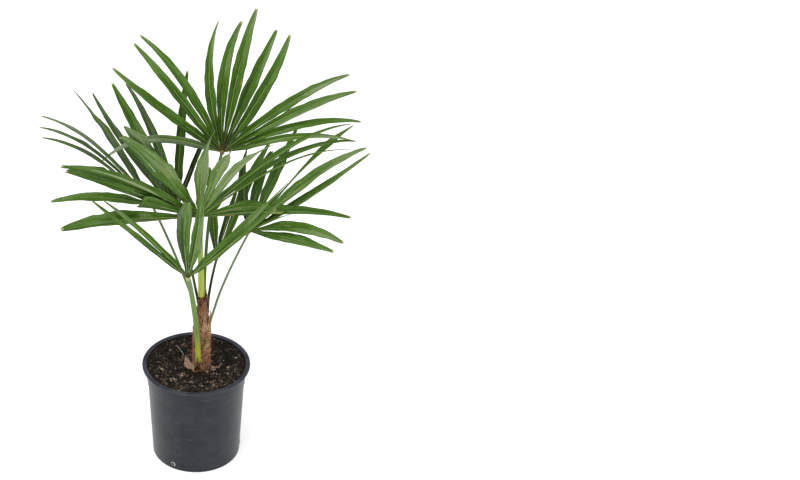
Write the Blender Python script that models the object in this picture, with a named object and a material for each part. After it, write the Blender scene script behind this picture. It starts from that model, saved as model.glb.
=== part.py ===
"""Young fan palm in a round nursery pot. Z is up, the pot stands on the plane z = 0 and its axis is the Z axis.

The pot is a turned shell with a flat rim flange, filled with soil. A short fibrous trunk leans out of the soil,
and seven leaf stalks leave it, each ending in a small knuckle that carries one fan of leaflets. A fan is split
into several blades wherever it has a wide gap, and each blade is a thin pleated sheet of its own outline.
Sizes below are in millimetres and degrees.
"""
from collections import namedtuple
from math import cos, radians, sin, tan

import bpy
import numpy as np

MM = 0.001
GAP = 0.3                    # clearance between pieces that touch on the plant

# Pot: a turned shell of even wall, drawn in at the stacking step and turned out into a flange at the rim
POT_HEIGHT = 185.0
RIM_RADIUS = 95.0
RIM_THICKNESS = 3.0
FOOT_RADIUS = 75.5
STEP_HEIGHT = 139.0          # where the wall steps out
STEP_RISE = 9.0
STEP_RADIUS = 84.2           # just under the step
COLLAR_RADIUS = 87.6         # just over the step
MOUTH_RADIUS = 88.6          # under the flange
WALL = 1.6
FLOOR = 2.4
EDGE_ROUND = 0.9
POT_SIDES = 48

# Drain holes through the foot of the wall
DRAIN_COUNT = 3
DRAIN_FIRST_ANGLE = 238.0
DRAIN_HEIGHT = 11.5
DRAIN_RADIUS = 2.8

# Soil: level round the trunk, banked up against the wall, most of all behind and to the left
SOIL_LEVEL = 172.0
SOIL_LEVEL_RADIUS = 34.0
SOIL_BANK = 3.5
SOIL_BANK_TILT = 3.0
SOIL_BANK_ANGLE = 150.0
SOIL_SIDES = 36

# Trunk: root flare, taper and lean, as height and radius
TRUNK_BASE = (8.3, 3.0)
TRUNK_TOP = (11.0, 0.0)
TRUNK_RADII = ((172.3, 19.5), (177, 17.4), (186, 16.3), (203, 16.0), (230, 15.6), (256, 15.0),
               (280, 13.2), (300, 11.5), (316, 9.2), (327, 7.5))
TRUNK_SIDES = 20

# Leaflets: thin pleated strips
BLADE_THICKNESS = 0.8
PLEAT = 0.22                 # depth of the fold at the midrib, as part of the half width
BASE_SPREAD = 6.0            # how fast a free edge opens from the knuckle, degrees
JOINED_STATIONS = 3
FREE_STATIONS = 6
STALK_SIDES = 8
STALK_STATIONS = 8

# One leaflet: angle from the fan's axis, length, how far its middle rises or bows sideways, full width
Leaf = namedtuple("Leaf", "angle length rise bow width")

# One fan: stalk foot (bearing on the trunk and height), two points that steer the stalk, the knuckle,
# stalk radius at foot and tip, knuckle radius, bearing and pitch of the fan's axis, backward curve as part of
# the length, radius out to which neighbouring leaflets are joined, and the leaflets of each blade
Fan = namedtuple("Fan", "foot steer hub stalk knuckle bearing pitch recurve joined blades")

FANS = {
    "top": Fan(
        foot=(70, 322), steer=((13, 13, 400), (24, 48, 520)), hub=(44, 60, 585), stalk=(3.0, 2.5), knuckle=6.0,
        bearing=90, pitch=55, recurve=0.05, joined=45, blades=(
            (Leaf(-94.5, 203, 36, 0, 13),),
            (Leaf(-52.5, 234, 0, -4, 16), Leaf(-39, 237, 0, 2, 17), Leaf(-35, 242, 0, 14, 16)),
            (Leaf(-1.5, 224, 0, -19, 17), Leaf(8.5, 225, 0, -16, 18), Leaf(13.5, 251, 0, -5, 20),
             Leaf(24, 228, 0, -1, 19), Leaf(30, 231, 0, 9, 19)),
            (Leaf(58.5, 254, 16, 0, 17), Leaf(65.5, 251, 13, 0, 17), Leaf(77.5, 242, 19, 0, 14),
             Leaf(85, 225, 18, 0, 13)),
        )),
    "middle": Fan(
        foot=None, steer=((8, -6, 385), (6.5, -22, 455)), hub=(6, -30, 512), stalk=(5.5, 4.0), knuckle=7.0,
        bearing=278, pitch=75, recurve=0.04, joined=35, blades=(
            (Leaf(91.5, 234, 8, 0, 22),),
            (Leaf(57.5, 277, 17, 0, 20),),
            (Leaf(33, 249, 0, -4, 36),),
            (Leaf(-3, 209, 0, 9, 23), Leaf(-16.5, 151, 0, 3, 26)),
            (Leaf(-35, 200, 0, 11, 20),),
            (Leaf(-50.5, 318, 17, 0, 10), Leaf(-58, 301, 23, 0, 10)),
            (Leaf(-97, 263, 8, 0, 19),),
        )),
    "front": Fan(
        foot=(255, 203), steer=((3, -24, 275), (-6, -35, 350)), hub=(-14, -45, 397), stalk=(4.5, 4.5), knuckle=5.5,
        bearing=265, pitch=85, recurve=-0.035, joined=30, blades=(
            (Leaf(45.5, 223, 0, -5, 12), Leaf(41.5, 211, 0, -10, 12)),
            (Leaf(0, 162, 0, 5, 22), Leaf(-7.5, 179, 0, -4, 17)),
            (Leaf(-38, 272, 0, 2, 15),),
        )),
    "right": Fan(
        foot=(350, 262), steer=((24, 0, 305), (62, 12, 390)), hub=(91, 15, 453), stalk=(2.6, 2.2), knuckle=5.0,
        bearing=30, pitch=40, recurve=0.04, joined=25, blades=(
            (Leaf(-53.5, 178, 0, -6, 14), Leaf(-35, 156, 0, -3, 14), Leaf(-23.5, 203, 0, 9, 17)),
            (Leaf(4, 254, 0, -3, 8), Leaf(18, 250, 10, 0, 18), Leaf(21, 253, -15, 0, 10)),
            (Leaf(63.5, 207, 16, 0, 17), Leaf(68, 196, 5, 0, 15)),
        )),
    "rear": Fan(
        foot=(30, 298), steer=((21, 16, 325), (29, 40, 352)), hub=(35, 55, 367), stalk=(2.6, 2.2), knuckle=4.0,
        bearing=70, pitch=35, recurve=0.05, joined=25, blades=(
            (Leaf(-20.5, 178, 0, 1, 14),),
            (Leaf(-0.5, 140, 0, 0, 12), Leaf(7.5, 235, 0, -2, 16)),
            (Leaf(28, 141, 0, 0, 12),),
        )),
    "left": Fan(
        foot=(180, 300), steer=((-12, 5, 345), (-42, 9, 430)), hub=(-75, 10, 510), stalk=(2.8, 2.5), knuckle=5.0,
        bearing=165, pitch=40, recurve=0.04, joined=30, blades=(
            (Leaf(-49.5, 239, 5, 0, 17),),
            (Leaf(-29, 179, 14, 0, 28), Leaf(-15.5, 231, 11, 0, 8), Leaf(-10.5, 239, 19, 0, 8),
             Leaf(-4, 244, 13, 0, 8)),
            (Leaf(25.5, 240, 0, -6, 12),),
        )),
    "rear_left": Fan(
        foot=(130, 305), steer=((-3, 14, 345), (-18, 45, 420)), hub=(-34, 70, 465), stalk=(2.6, 2.2), knuckle=4.0,
        bearing=125, pitch=50, recurve=0.05, joined=30, blades=(
            (Leaf(-46, 130, 2, 0, 12),),
            (Leaf(-16.5, 244, 0, -15, 12), Leaf(-6.5, 240, 0, -6, 19), Leaf(-0.5, 231, 0, 5, 15)),
            (Leaf(29, 248, 0, -10, 15),),
            (Leaf(47.5, 168, 0, -6, 10),),
        )),
}

# Colour (linear), roughness and metallic value of each material
POT_PLASTIC = ((0.045, 0.050, 0.057, 1), 0.42, 0.0)
SOIL_PEAT = ((0.022, 0.014, 0.009, 1), 0.95, 0.0)
TRUNK_FIBRE = ((0.240, 0.115, 0.060, 1), 0.90, 0.0)
STALK_GREEN = ((0.180, 0.280, 0.100, 1), 0.50, 0.0)
LEAF_GREEN = ((0.050, 0.150, 0.030, 1), 0.45, 0.0)


def clear_scene():
    for item in list(bpy.data.objects):
        bpy.data.objects.remove(item, do_unlink=True)


def make_material(name, look):
    colour, roughness, metallic = look
    material = bpy.data.materials.new(name)
    material.use_nodes = True
    shader = material.node_tree.nodes["Principled BSDF"]
    shader.inputs["Base Color"].default_value = colour
    shader.inputs["Roughness"].default_value = roughness
    shader.inputs["Metallic"].default_value = metallic
    return material


def add_object(name, points, faces, look, smooth=True):
    """A mesh object from points in millimetres."""
    mesh = bpy.data.meshes.new(name)
    mesh.from_pydata([tuple(p) for p in np.asarray(points) * MM], [], faces)
    mesh.update()
    if smooth:
        mesh.shade_smooth()
        mesh.set_sharp_from_angle(angle=radians(35))
    thing = bpy.data.objects.new(name, mesh)
    mesh.materials.append(make_material(name, look))
    bpy.context.collection.objects.link(thing)
    return thing


def unit(vector):
    return vector / np.linalg.norm(vector)


def ring_faces(rings, sides):
    """Quads between rings of points that follow each other, counter-clockwise about the direction of travel."""
    faces = []
    for k in range(rings - 1):
        for j in range(sides):
            a, b = k * sides + j, k * sides + (j + 1) % sides
            faces.append((a, b, b + sides, a + sides))
    return faces


def tube(path, radii, sides):
    """Points and faces of a round bar along a path, with flat ends."""
    path = np.asarray(path, float)
    tangents = np.gradient(path, axis=0)
    side = unit(np.cross(tangents[0], (0.31, -0.95, 0.05)))
    angles = np.arange(sides) * 2 * np.pi / sides
    points = []
    for centre, tangent, radius in zip(path, tangents, radii):
        tangent = unit(tangent)
        side = unit(side - tangent * side.dot(tangent))
        other = np.cross(tangent, side)
        points += [centre + radius * (cos(t) * side + sin(t) * other) for t in angles]
    last = (len(path) - 1) * sides
    caps = [tuple(range(sides - 1, -1, -1)), tuple(range(last, last + sides))]
    return points, ring_faces(len(path), sides) + caps


def turned(profile, sides):
    """Points and faces of a closed profile of (radius, height) turned about Z; radius 0 is a point on the axis."""
    points, rows = [], []
    for radius, height in profile:
        if radius == 0:
            rows.append([len(points)] * sides)
            points.append((0, 0, height))
            continue
        rows.append(list(range(len(points), len(points) + sides)))
        points += [(radius * cos(t), radius * sin(t), height) for t in np.arange(sides) * 2 * np.pi / sides]
    faces = []
    for low, high in zip(rows, rows[1:]):
        for j in range(sides):
            k = (j + 1) % sides
            corners = (low[j], low[k], high[k], high[j])
            faces.append(tuple(dict.fromkeys(corners)))
    return points, faces


def pot_outer_profile():
    """From the middle of the underside out to the foot, up the wall and round the flange to the mouth."""
    edge = EDGE_ROUND
    return [
        (0, 0),
        (FOOT_RADIUS - 1.0, 0),
        (FOOT_RADIUS, 1.4),
        (STEP_RADIUS, STEP_HEIGHT),
        (COLLAR_RADIUS, STEP_HEIGHT + STEP_RISE),
        (MOUTH_RADIUS, POT_HEIGHT - RIM_THICKNESS - edge),
        (MOUTH_RADIUS + edge, POT_HEIGHT - RIM_THICKNESS),
        (RIM_RADIUS - edge, POT_HEIGHT - RIM_THICKNESS),
        (RIM_RADIUS, POT_HEIGHT - RIM_THICKNESS + edge),
        (RIM_RADIUS, POT_HEIGHT - edge),
        (RIM_RADIUS - edge, POT_HEIGHT),
        (MOUTH_RADIUS - WALL + edge, POT_HEIGHT),
        (MOUTH_RADIUS - WALL, POT_HEIGHT - edge),
    ]


def pot_inner_profile():
    """From the mouth down the inside of the wall to the middle of the floor."""
    return [
        (COLLAR_RADIUS - WALL, STEP_HEIGHT + STEP_RISE),
        (STEP_RADIUS - WALL, STEP_HEIGHT),
        (FOOT_RADIUS - WALL, FLOOR),
        (0, FLOOR),
    ]


def drain_cutter(number):
    """A short bar across the wall where one drain hole goes."""
    angle = radians(DRAIN_FIRST_ANGLE + number * 360 / DRAIN_COUNT)
    outward = np.array((cos(angle), sin(angle), 0))
    ends = [outward * r + (0, 0, DRAIN_HEIGHT) for r in (FOOT_RADIUS - 8, FOOT_RADIUS + 8)]
    points, faces = tube(ends, (DRAIN_RADIUS, DRAIN_RADIUS), 12)
    cutter = add_object(f"drain_cutter_{number + 1}", points, faces, POT_PLASTIC)
    cutter.hide_render = True
    cutter.display_type = "WIRE"
    return cutter


def make_pot():
    points, faces = turned(pot_outer_profile() + pot_inner_profile(), POT_SIDES)
    pot = add_object("pot", points, faces, POT_PLASTIC)
    for number in range(DRAIN_COUNT):
        cut = pot.modifiers.new(f"drain_{number + 1}", "BOOLEAN")
        cut.operation = "DIFFERENCE"
        cut.object = drain_cutter(number)


def make_soil():
    """A plug that follows the inside of the pot, with its top banked up towards the wall."""
    inner = [(radius - GAP, height) for radius, height in pot_inner_profile()[:3]]
    floor_radius, floor_height = inner[-1][0], FLOOR + GAP
    inner[-1] = (floor_radius, floor_height)
    angles = np.arange(SOIL_SIDES) * 2 * np.pi / SOIL_SIDES
    bank = SOIL_LEVEL + SOIL_BANK + SOIL_BANK_TILT * np.cos(angles - radians(SOIL_BANK_ANGLE))
    slope = (MOUTH_RADIUS - COLLAR_RADIUS) / (POT_HEIGHT - STEP_HEIGHT - STEP_RISE)
    edge_radius = inner[0][0] + slope * (bank - inner[0][1])
    rows = [(np.full(SOIL_SIDES, radius), np.full(SOIL_SIDES, height)) for radius, height in reversed(inner)]
    rows += [(edge_radius, bank), (np.full(SOIL_SIDES, SOIL_LEVEL_RADIUS), np.full(SOIL_SIDES, SOIL_LEVEL))]
    points = [(r * cos(t), r * sin(t), z) for radii, heights in rows for r, z, t in zip(radii, heights, angles)]
    last = (len(rows) - 1) * SOIL_SIDES
    caps = [tuple(range(SOIL_SIDES - 1, -1, -1)), tuple(range(last, last + SOIL_SIDES))]
    add_object("soil", points, ring_faces(len(rows), SOIL_SIDES) + caps, SOIL_PEAT)


def trunk_centre(height):
    """The trunk's axis at a height: a straight lean from the soil to the tip."""
    low, high = TRUNK_RADII[0][0], TRUNK_RADII[-1][0]
    part = (height - low) / (high - low)
    x = TRUNK_BASE[0] + part * (TRUNK_TOP[0] - TRUNK_BASE[0])
    y = TRUNK_BASE[1] + part * (TRUNK_TOP[1] - TRUNK_BASE[1])
    return np.array((x, y, height))


def trunk_radius(height):
    heights, radii = zip(*TRUNK_RADII)
    return float(np.interp(height, heights, radii))


def make_trunk():
    """Level rings along the leaning axis, so that the cut at the soil is flat."""
    angles = np.arange(TRUNK_SIDES) * 2 * np.pi / TRUNK_SIDES
    points = []
    for height, radius in TRUNK_RADII:
        points += [trunk_centre(height) + radius * np.array((cos(t), sin(t), 0)) for t in angles]
    last = (len(TRUNK_RADII) - 1) * TRUNK_SIDES
    caps = [tuple(range(TRUNK_SIDES - 1, -1, -1)), tuple(range(last, last + TRUNK_SIDES))]
    add_object("trunk", points, ring_faces(len(TRUNK_RADII), TRUNK_SIDES) + caps, TRUNK_FIBRE)


def stalk_foot(fan):
    """Where a stalk starts: against the trunk's side, or on its top when it has no bearing."""
    if fan.foot is None:
        top = TRUNK_RADII[-1][0]
        return trunk_centre(top) + (-2.0, -1.5, GAP + 0.6)
    bearing, height = fan.foot
    reach = trunk_radius(height) + fan.stalk[0] + GAP + 0.2
    return trunk_centre(height) + reach * np.array((cos(radians(bearing)), sin(radians(bearing)), 0))


def make_stalk(name, fan):
    """A tapering limb along a cubic curve, ending in a round knuckle at the fan's hub."""
    foot, hub = stalk_foot(fan), np.array(fan.hub, float)
    steer = [np.array(p, float) for p in fan.steer]
    reach = 1 - 1.3 * fan.knuckle / np.linalg.norm(hub - steer[1]) / 3
    path, radii = [], []
    for t in np.linspace(0, reach, STALK_STATIONS + 1):
        path.append((1 - t) ** 3 * foot + 3 * (1 - t) ** 2 * t * steer[0] + 3 * (1 - t) * t * t * steer[1] + t ** 3 * hub)
        radii.append(fan.stalk[0] + t * (fan.stalk[1] - fan.stalk[0]))
    along = unit(hub - steer[1])
    start = 180 - np.degrees(np.arcsin(fan.stalk[1] / fan.knuckle))
    for angle in np.linspace(start, 15, 7):
        path.append(hub + along * fan.knuckle * cos(radians(angle)))
        radii.append(fan.knuckle * sin(radians(angle)))
    points, faces = tube(path, radii, STALK_SIDES)
    add_object(f"{name}_stalk", points, faces, STALK_GREEN)


def fan_axes(fan):
    """The fan's axis, its sideways direction in the blade's plane, and the normal of its upper face."""
    bearing, pitch = radians(fan.bearing), radians(fan.pitch)
    axis = np.array((cos(pitch) * cos(bearing), cos(pitch) * sin(bearing), sin(pitch)))
    side = np.array((sin(bearing), -cos(bearing), 0.0))
    return axis, side, np.cross(side, axis)


def leaf_line(fan, leaf, part):
    """A point of a leaflet's midrib, at a part of its length: straight out, plus curves that vanish at both ends."""
    axis, side, normal = fan_axes(fan)
    angle = radians(leaf.angle)
    out = cos(angle) * axis + sin(angle) * side
    across = cos(angle) * side - sin(angle) * axis
    hump = 2.598 * part * (1 - part * part)
    shift = leaf.rise * np.array((0, 0, 1)) + leaf.bow * across + fan.recurve * leaf.length * normal
    return np.array(fan.hub, float) + leaf.length * part * out + hump * shift


def leaf_across(fan, leaf, part):
    """The direction across a leaflet, level with its fan."""
    normal = fan_axes(fan)[2]
    tangent = leaf_line(fan, leaf, part + 0.01) - leaf_line(fan, leaf, part - 0.01)
    return unit(np.cross(tangent, normal))


def taper(part):
    """Width along a leaflet as part of its full width: full to 55 percent, then down to a blunt tip."""
    return 1.0 if part < 0.55 else 1 - 0.78 * ((part - 0.55) / 0.45) ** 1.5


def edge_reach(fan, leaf, other, joined, distance):
    """How far a leaflet's edge lies from its midrib, at a distance from the hub, on the side of a neighbour.

    It is half the leaflet's width, and at most half the way to the neighbour. An edge that is joined to no
    neighbour also opens slowly from the knuckle.
    """
    part = distance / leaf.length
    reach = 0.5 * leaf.width * taper(part)
    if not joined:
        reach = min(reach, 0.25 + distance * tan(radians(BASE_SPREAD)))
    if other is not None:
        apart = leaf_line(fan, leaf, part) - leaf_line(fan, other, min(distance / other.length, 1.0))
        reach = min(reach, 0.5 * np.linalg.norm(apart) - GAP)
    return reach


def neighbours(fan, leaf):
    """The leaflets next to one, on the side of smaller and of larger angle, or None past the last."""
    row = sorted((other for blade in fan.blades for other in blade), key=lambda other: other.angle)
    row = [None] + row + [None]
    place = row.index(leaf)
    return row[place - 1], row[place + 1]


class Sheet:
    """A thin sheet: every point is kept once for the upper skin and once for the lower one."""

    def __init__(self, normal):
        self.offset = 0.5 * BLADE_THICKNESS * normal
        self.points = []
        self.faces = []

    def point(self, place):
        self.points += [place + self.offset, place - self.offset]
        return len(self.points) - 2

    def patch(self, *corners):
        self.faces.append(tuple(corners))
        self.faces.append(tuple(c + 1 for c in reversed(corners)))

    def wall(self, *chain):
        for a, b in zip(chain, chain[1:]):
            self.faces.append((b, a, a + 1, b + 1))


def blade_edges(fan, leaves, distance):
    """Edge and midrib places of joined leaflets at one distance from the hub, in order across the blade."""
    normal = fan_axes(fan)[2]
    places = []
    for number, leaf in enumerate(leaves):
        part = distance / leaf.length
        middle, across = leaf_line(fan, leaf, part), leaf_across(fan, leaf, part)
        before, after = neighbours(fan, leaf)
        if number == 0:
            places.append(middle - across * edge_reach(fan, leaf, before, False, distance))
        places.append(middle)
        if number == len(leaves) - 1:
            places.append(middle + across * edge_reach(fan, leaf, after, False, distance))
        else:
            places.append(0.5 * (middle + leaf_line(fan, after, distance / after.length)))
    depth = PLEAT * 0.25 * np.linalg.norm(places[-1] - places[0]) / len(leaves)
    return [p - normal * depth * (k % 2) for k, p in enumerate(places)]


def make_blade(name, fan, leaves):
    """Leaflets joined side by side near the knuckle, then one free finger for each."""
    leaves = sorted(leaves, key=lambda leaf: leaf.angle)
    normal = fan_axes(fan)[2]
    sheet = Sheet(normal)
    start = fan.knuckle + GAP + 0.1
    rows = [[sheet.point(p) for p in blade_edges(fan, leaves, d)]
            for d in np.linspace(start, fan.joined, JOINED_STATIONS + 1)]
    for low, high in zip(rows, rows[1:]):
        for k in range(len(low) - 1):
            sheet.patch(low[k], low[k + 1], high[k + 1], high[k])
    sheet.wall(*rows[0])
    sheet.wall(*[row[-1] for row in rows])
    sheet.wall(*[row[0] for row in reversed(rows)])
    for number, leaf in enumerate(leaves):
        beside = [(other, other in leaves) for other in neighbours(fan, leaf)]
        row = rows[-1][2 * number:2 * number + 3]
        left, right = [row[0]], [row[2]]
        for distance in np.linspace(fan.joined, leaf.length, FREE_STATIONS + 1)[1:]:
            part = distance / leaf.length
            middle, across = leaf_line(fan, leaf, part), leaf_across(fan, leaf, part)
            reach = [edge_reach(fan, leaf, other, joined, distance) for other, joined in beside]
            sink = normal * PLEAT * min(reach)
            new = [sheet.point(p) for p in (middle - across * reach[0], middle - sink, middle + across * reach[1])]
            sheet.patch(row[0], row[1], new[1], new[0])
            sheet.patch(row[1], row[2], new[2], new[1])
            left.append(new[0])
            right.append(new[2])
            row = new
        sheet.wall(*right)
        sheet.wall(*row[::-1])
        sheet.wall(*left[::-1])
    add_object(name, sheet.points, sheet.faces, LEAF_GREEN, smooth=False)


def make_fan(name, fan):
    make_stalk(name, fan)
    for number, leaves in enumerate(fan.blades):
        make_blade(f"{name}_blade_{number + 1}", fan, leaves)


def main():
    clear_scene()
    make_pot()
    make_soil()
    make_trunk()
    for name, fan in FANS.items():
        make_fan(name, fan)


main()
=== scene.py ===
"""Young windmill palm in a round nursery pot: the fine shape and the finish of every surface.

Z is up and the pot's axis is the Z axis. Lengths are in millimetres and angles in degrees until a Shape
becomes a piece, which is in metres.
"""
from collections import namedtuple
from itertools import product
from math import atan, cos, radians, sin

import bmesh
import bpy
import numpy as np
from bpy.props import FloatProperty, FloatVectorProperty, IntProperty, PointerProperty
from mathutils import Matrix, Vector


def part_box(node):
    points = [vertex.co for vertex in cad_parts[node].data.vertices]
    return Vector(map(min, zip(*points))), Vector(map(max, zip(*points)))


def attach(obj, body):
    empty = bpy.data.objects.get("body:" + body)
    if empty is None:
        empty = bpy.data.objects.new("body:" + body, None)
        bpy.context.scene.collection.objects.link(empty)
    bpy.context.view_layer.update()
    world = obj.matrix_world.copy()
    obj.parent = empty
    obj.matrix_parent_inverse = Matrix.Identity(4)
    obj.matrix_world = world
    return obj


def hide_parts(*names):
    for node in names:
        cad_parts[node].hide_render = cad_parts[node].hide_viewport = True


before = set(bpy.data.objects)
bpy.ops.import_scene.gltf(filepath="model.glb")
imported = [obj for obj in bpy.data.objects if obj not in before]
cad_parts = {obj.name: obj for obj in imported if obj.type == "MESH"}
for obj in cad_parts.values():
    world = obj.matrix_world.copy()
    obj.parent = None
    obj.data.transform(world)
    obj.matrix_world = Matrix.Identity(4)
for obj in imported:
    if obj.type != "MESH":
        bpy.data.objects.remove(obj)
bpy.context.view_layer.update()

bl_info = {
    "name": "Potted Windmill Palm",
    "version": (1, 0, 0),
    "blender": (4, 5, 0),
    "location": "3D View > Sidebar > Palm",
    "description": "Builds a young windmill palm with its leaves, trunk, soil and nursery pot",
    "category": "Object",
}

MM = 0.001
BODY = "root"
SURFACE_MAP = "Surface"      # every piece's own map: across and along the surface, in metres
MERGE_DISTANCE, LEAST_EDGE = 2e-6, 1e-7      # metres

# Pot, from its box in the frame and the wall's own sizes
_, POT_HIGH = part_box("pot")
POT_HEIGHT = POT_HIGH.z / MM
RIM_RADIUS = POT_HIGH.x / MM
RIM_THICKNESS = 3.0
FOOT_RADIUS = 77.0
STEP_HEIGHT, STEP_RADIUS, LEDGE, MOUTH_RADIUS = 147.5, 84.9, 1.2, 88.6
WALL, FLOOR = 1.6, 2.4
DRAIN_COUNT, DRAIN_FIRST_ANGLE, DRAIN_HEIGHT, DRAIN_RADIUS = 3, 238.0, 11.5, 2.8
CUTTER_REACH = 8             # how far a drain's cutter stands past the wall, inwards and outwards

# Soil: level round the trunk, banked up against the wall, most of all behind and to the left, and heaped a
# little round the trunk's foot. Loose crumbs and fibres stay within their own radius.
GAP = 0.3
SOIL_LEVEL, SOIL_LEVEL_RADIUS, SOIL_BANK_RADIUS = 172.0, 34.0, 86.0
SOIL_BANK, SOIL_BANK_TILT, SOIL_BANK_ANGLE = 9.5, 1.2, 150.0
SOIL_HEAP, SOIL_HEAP_RADIUS, SOIL_HEAP_SLOPE = 3.5, 27, 9
SOIL_CALM_RADIUS, SOIL_CALM_WIDTH = 87, 3    # where its lumps have died out, and over what width
CRUMB_RADIUS, FIBRE_RADIUS = 84.5, 83
CRUMB_SPREAD, FIBRE_SPREAD = 85, 80
CRUMB_LIFT, FIBRE_LIFT = 0.35, 0.8

# Crumbs that show in the photo: places across the soil
TAN_CRUMBS = ((-42.5, -35.7), (-38, -42), (-7.5, -50.7), (15.2, -59.6), (29.2, -53.9), (26, -46), (-49, -25),
              (-58, -12), (34, -57))
MOSS_BITS = ((55.6, -30.4), (62, -29), (69.6, -30.5), (58, -35), (66, -34), (50, -34), (-52, -30), (74, -20))

# One long pale root that lies on the soil behind the trunk: its ends and how far its middle bows, and its
# colours
ROOT_LINE = (-36.0, 59, 181), (-22.0, 33, 178), (0.6, 0.4, 0.8)
ROOT_COLOURS = "#a8a59c", "#c9c7bf"

# Trunk: root flare, taper and lean, as height and radius, and the radius that its map is laid out on
ARC_RADIUS = 16
TRUNK_BASE, TRUNK_TOP = (8.3, 3.0), (11.0, 0.0)
TRUNK_RADII = ((172.3, 17.6), (177, 17.0), (186, 16.3), (203, 16.0), (230, 15.6), (256, 14.6),
               (280, 11.0), (300, 8.1), (316, 6.2), (327, 5.7))

# Loose hairs on the trunk: their heights, their lengths, and the height past which they are twice as long
HAIR_HEIGHTS, HAIR_LENGTHS, HAIR_TOP = (176, 326), (2, 7), 290

# Tips of leaflets: width along the leaflet, as pairs of part of the length and part of the full width
TIPS = {
    "blunt": ((0, 1), (0.5, 1), (0.68, 0.87), (0.83, 0.62), (0.93, 0.42), (0.98, 0.27), (1, 0.12)),
    "point": ((0, 1), (0.45, 1), (0.65, 0.78), (0.82, 0.48), (0.94, 0.22), (1, 0.04)),
    "cut": ((0, 1), (0.42, 1), (0.62, 0.86), (0.8, 0.58), (0.93, 0.36), (1, 0.24)),
    "thread": ((0, 1), (0.62, 0.96), (0.76, 0.62), (0.84, 0.24), (0.92, 0.16), (1, 0.07)),
    "torn": ((0, 1), (0.9, 1), (0.97, 0.9), (1, 0.7)),
    "band": ((0, 0.06), (0.36, 0.06), (0.45, 1), (0.7, 0.9), (0.9, 0.6), (1, 0.2)),
    "broad": ((0, 1), (0.7, 1), (0.86, 0.84), (0.95, 0.56), (1, 0.3)),
    "spike": ((0, 1), (0.6, 1), (0.78, 0.78), (0.88, 0.44), (0.92, 0.12), (1, 0.05)),
    "whip": ((0, 1), (0.6, 1), (0.72, 0.86), (0.78, 0.42), (0.9, 0.3), (1, 0.06)),
    "late": ((0, 0.8), (0.22, 0.8), (0.36, 0.3), (0.48, 0.3), (0.62, 0.6), (0.8, 1), (0.92, 0.55), (1, 0.1)),
}

# One leaflet: angle from the fan's axis, length, how far its middle rises or bows sideways, full width,
# shade from 0 deep to 7 pale, tip, radius out to which it is joined to the next leaflet, turn of its outer
# end about its own length, height of a kink two thirds of the way out, length of the dry end, which is
# straw or, where negative, brown, and, for a leaflet that lies loose over or under the row of the others,
# how far over it lies
Leaf = namedtuple("Leaf", "angle length rise bow width tone tip web twist kink dry over",
                  defaults=(3, "blunt", 14, 0, 0, 2, None))

# One fan: stalk foot (bearing on the trunk and height), two points that steer the stalk, the hub, stalk
# radius at foot and tip, knuckle radius, bearing and pitch of the fan's axis, backward curve as part of the
# length, how much paler the half towards larger angles is, which is a painted sheen on the half of each
# folded leaflet that faces the light, how much paler the outer ends of leaflets are, the leaflets in order of
# angle, how far the stalk still shows below its foot, how far its lower end is pressed into the trunk, and
# whether the seams between joined leaflets are pale
Fan = namedtuple("Fan", """foot steer hub stalk knuckle bearing pitch recurve halves ends leaves
                        drop press seams""", defaults=(0, 0, False))

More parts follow.
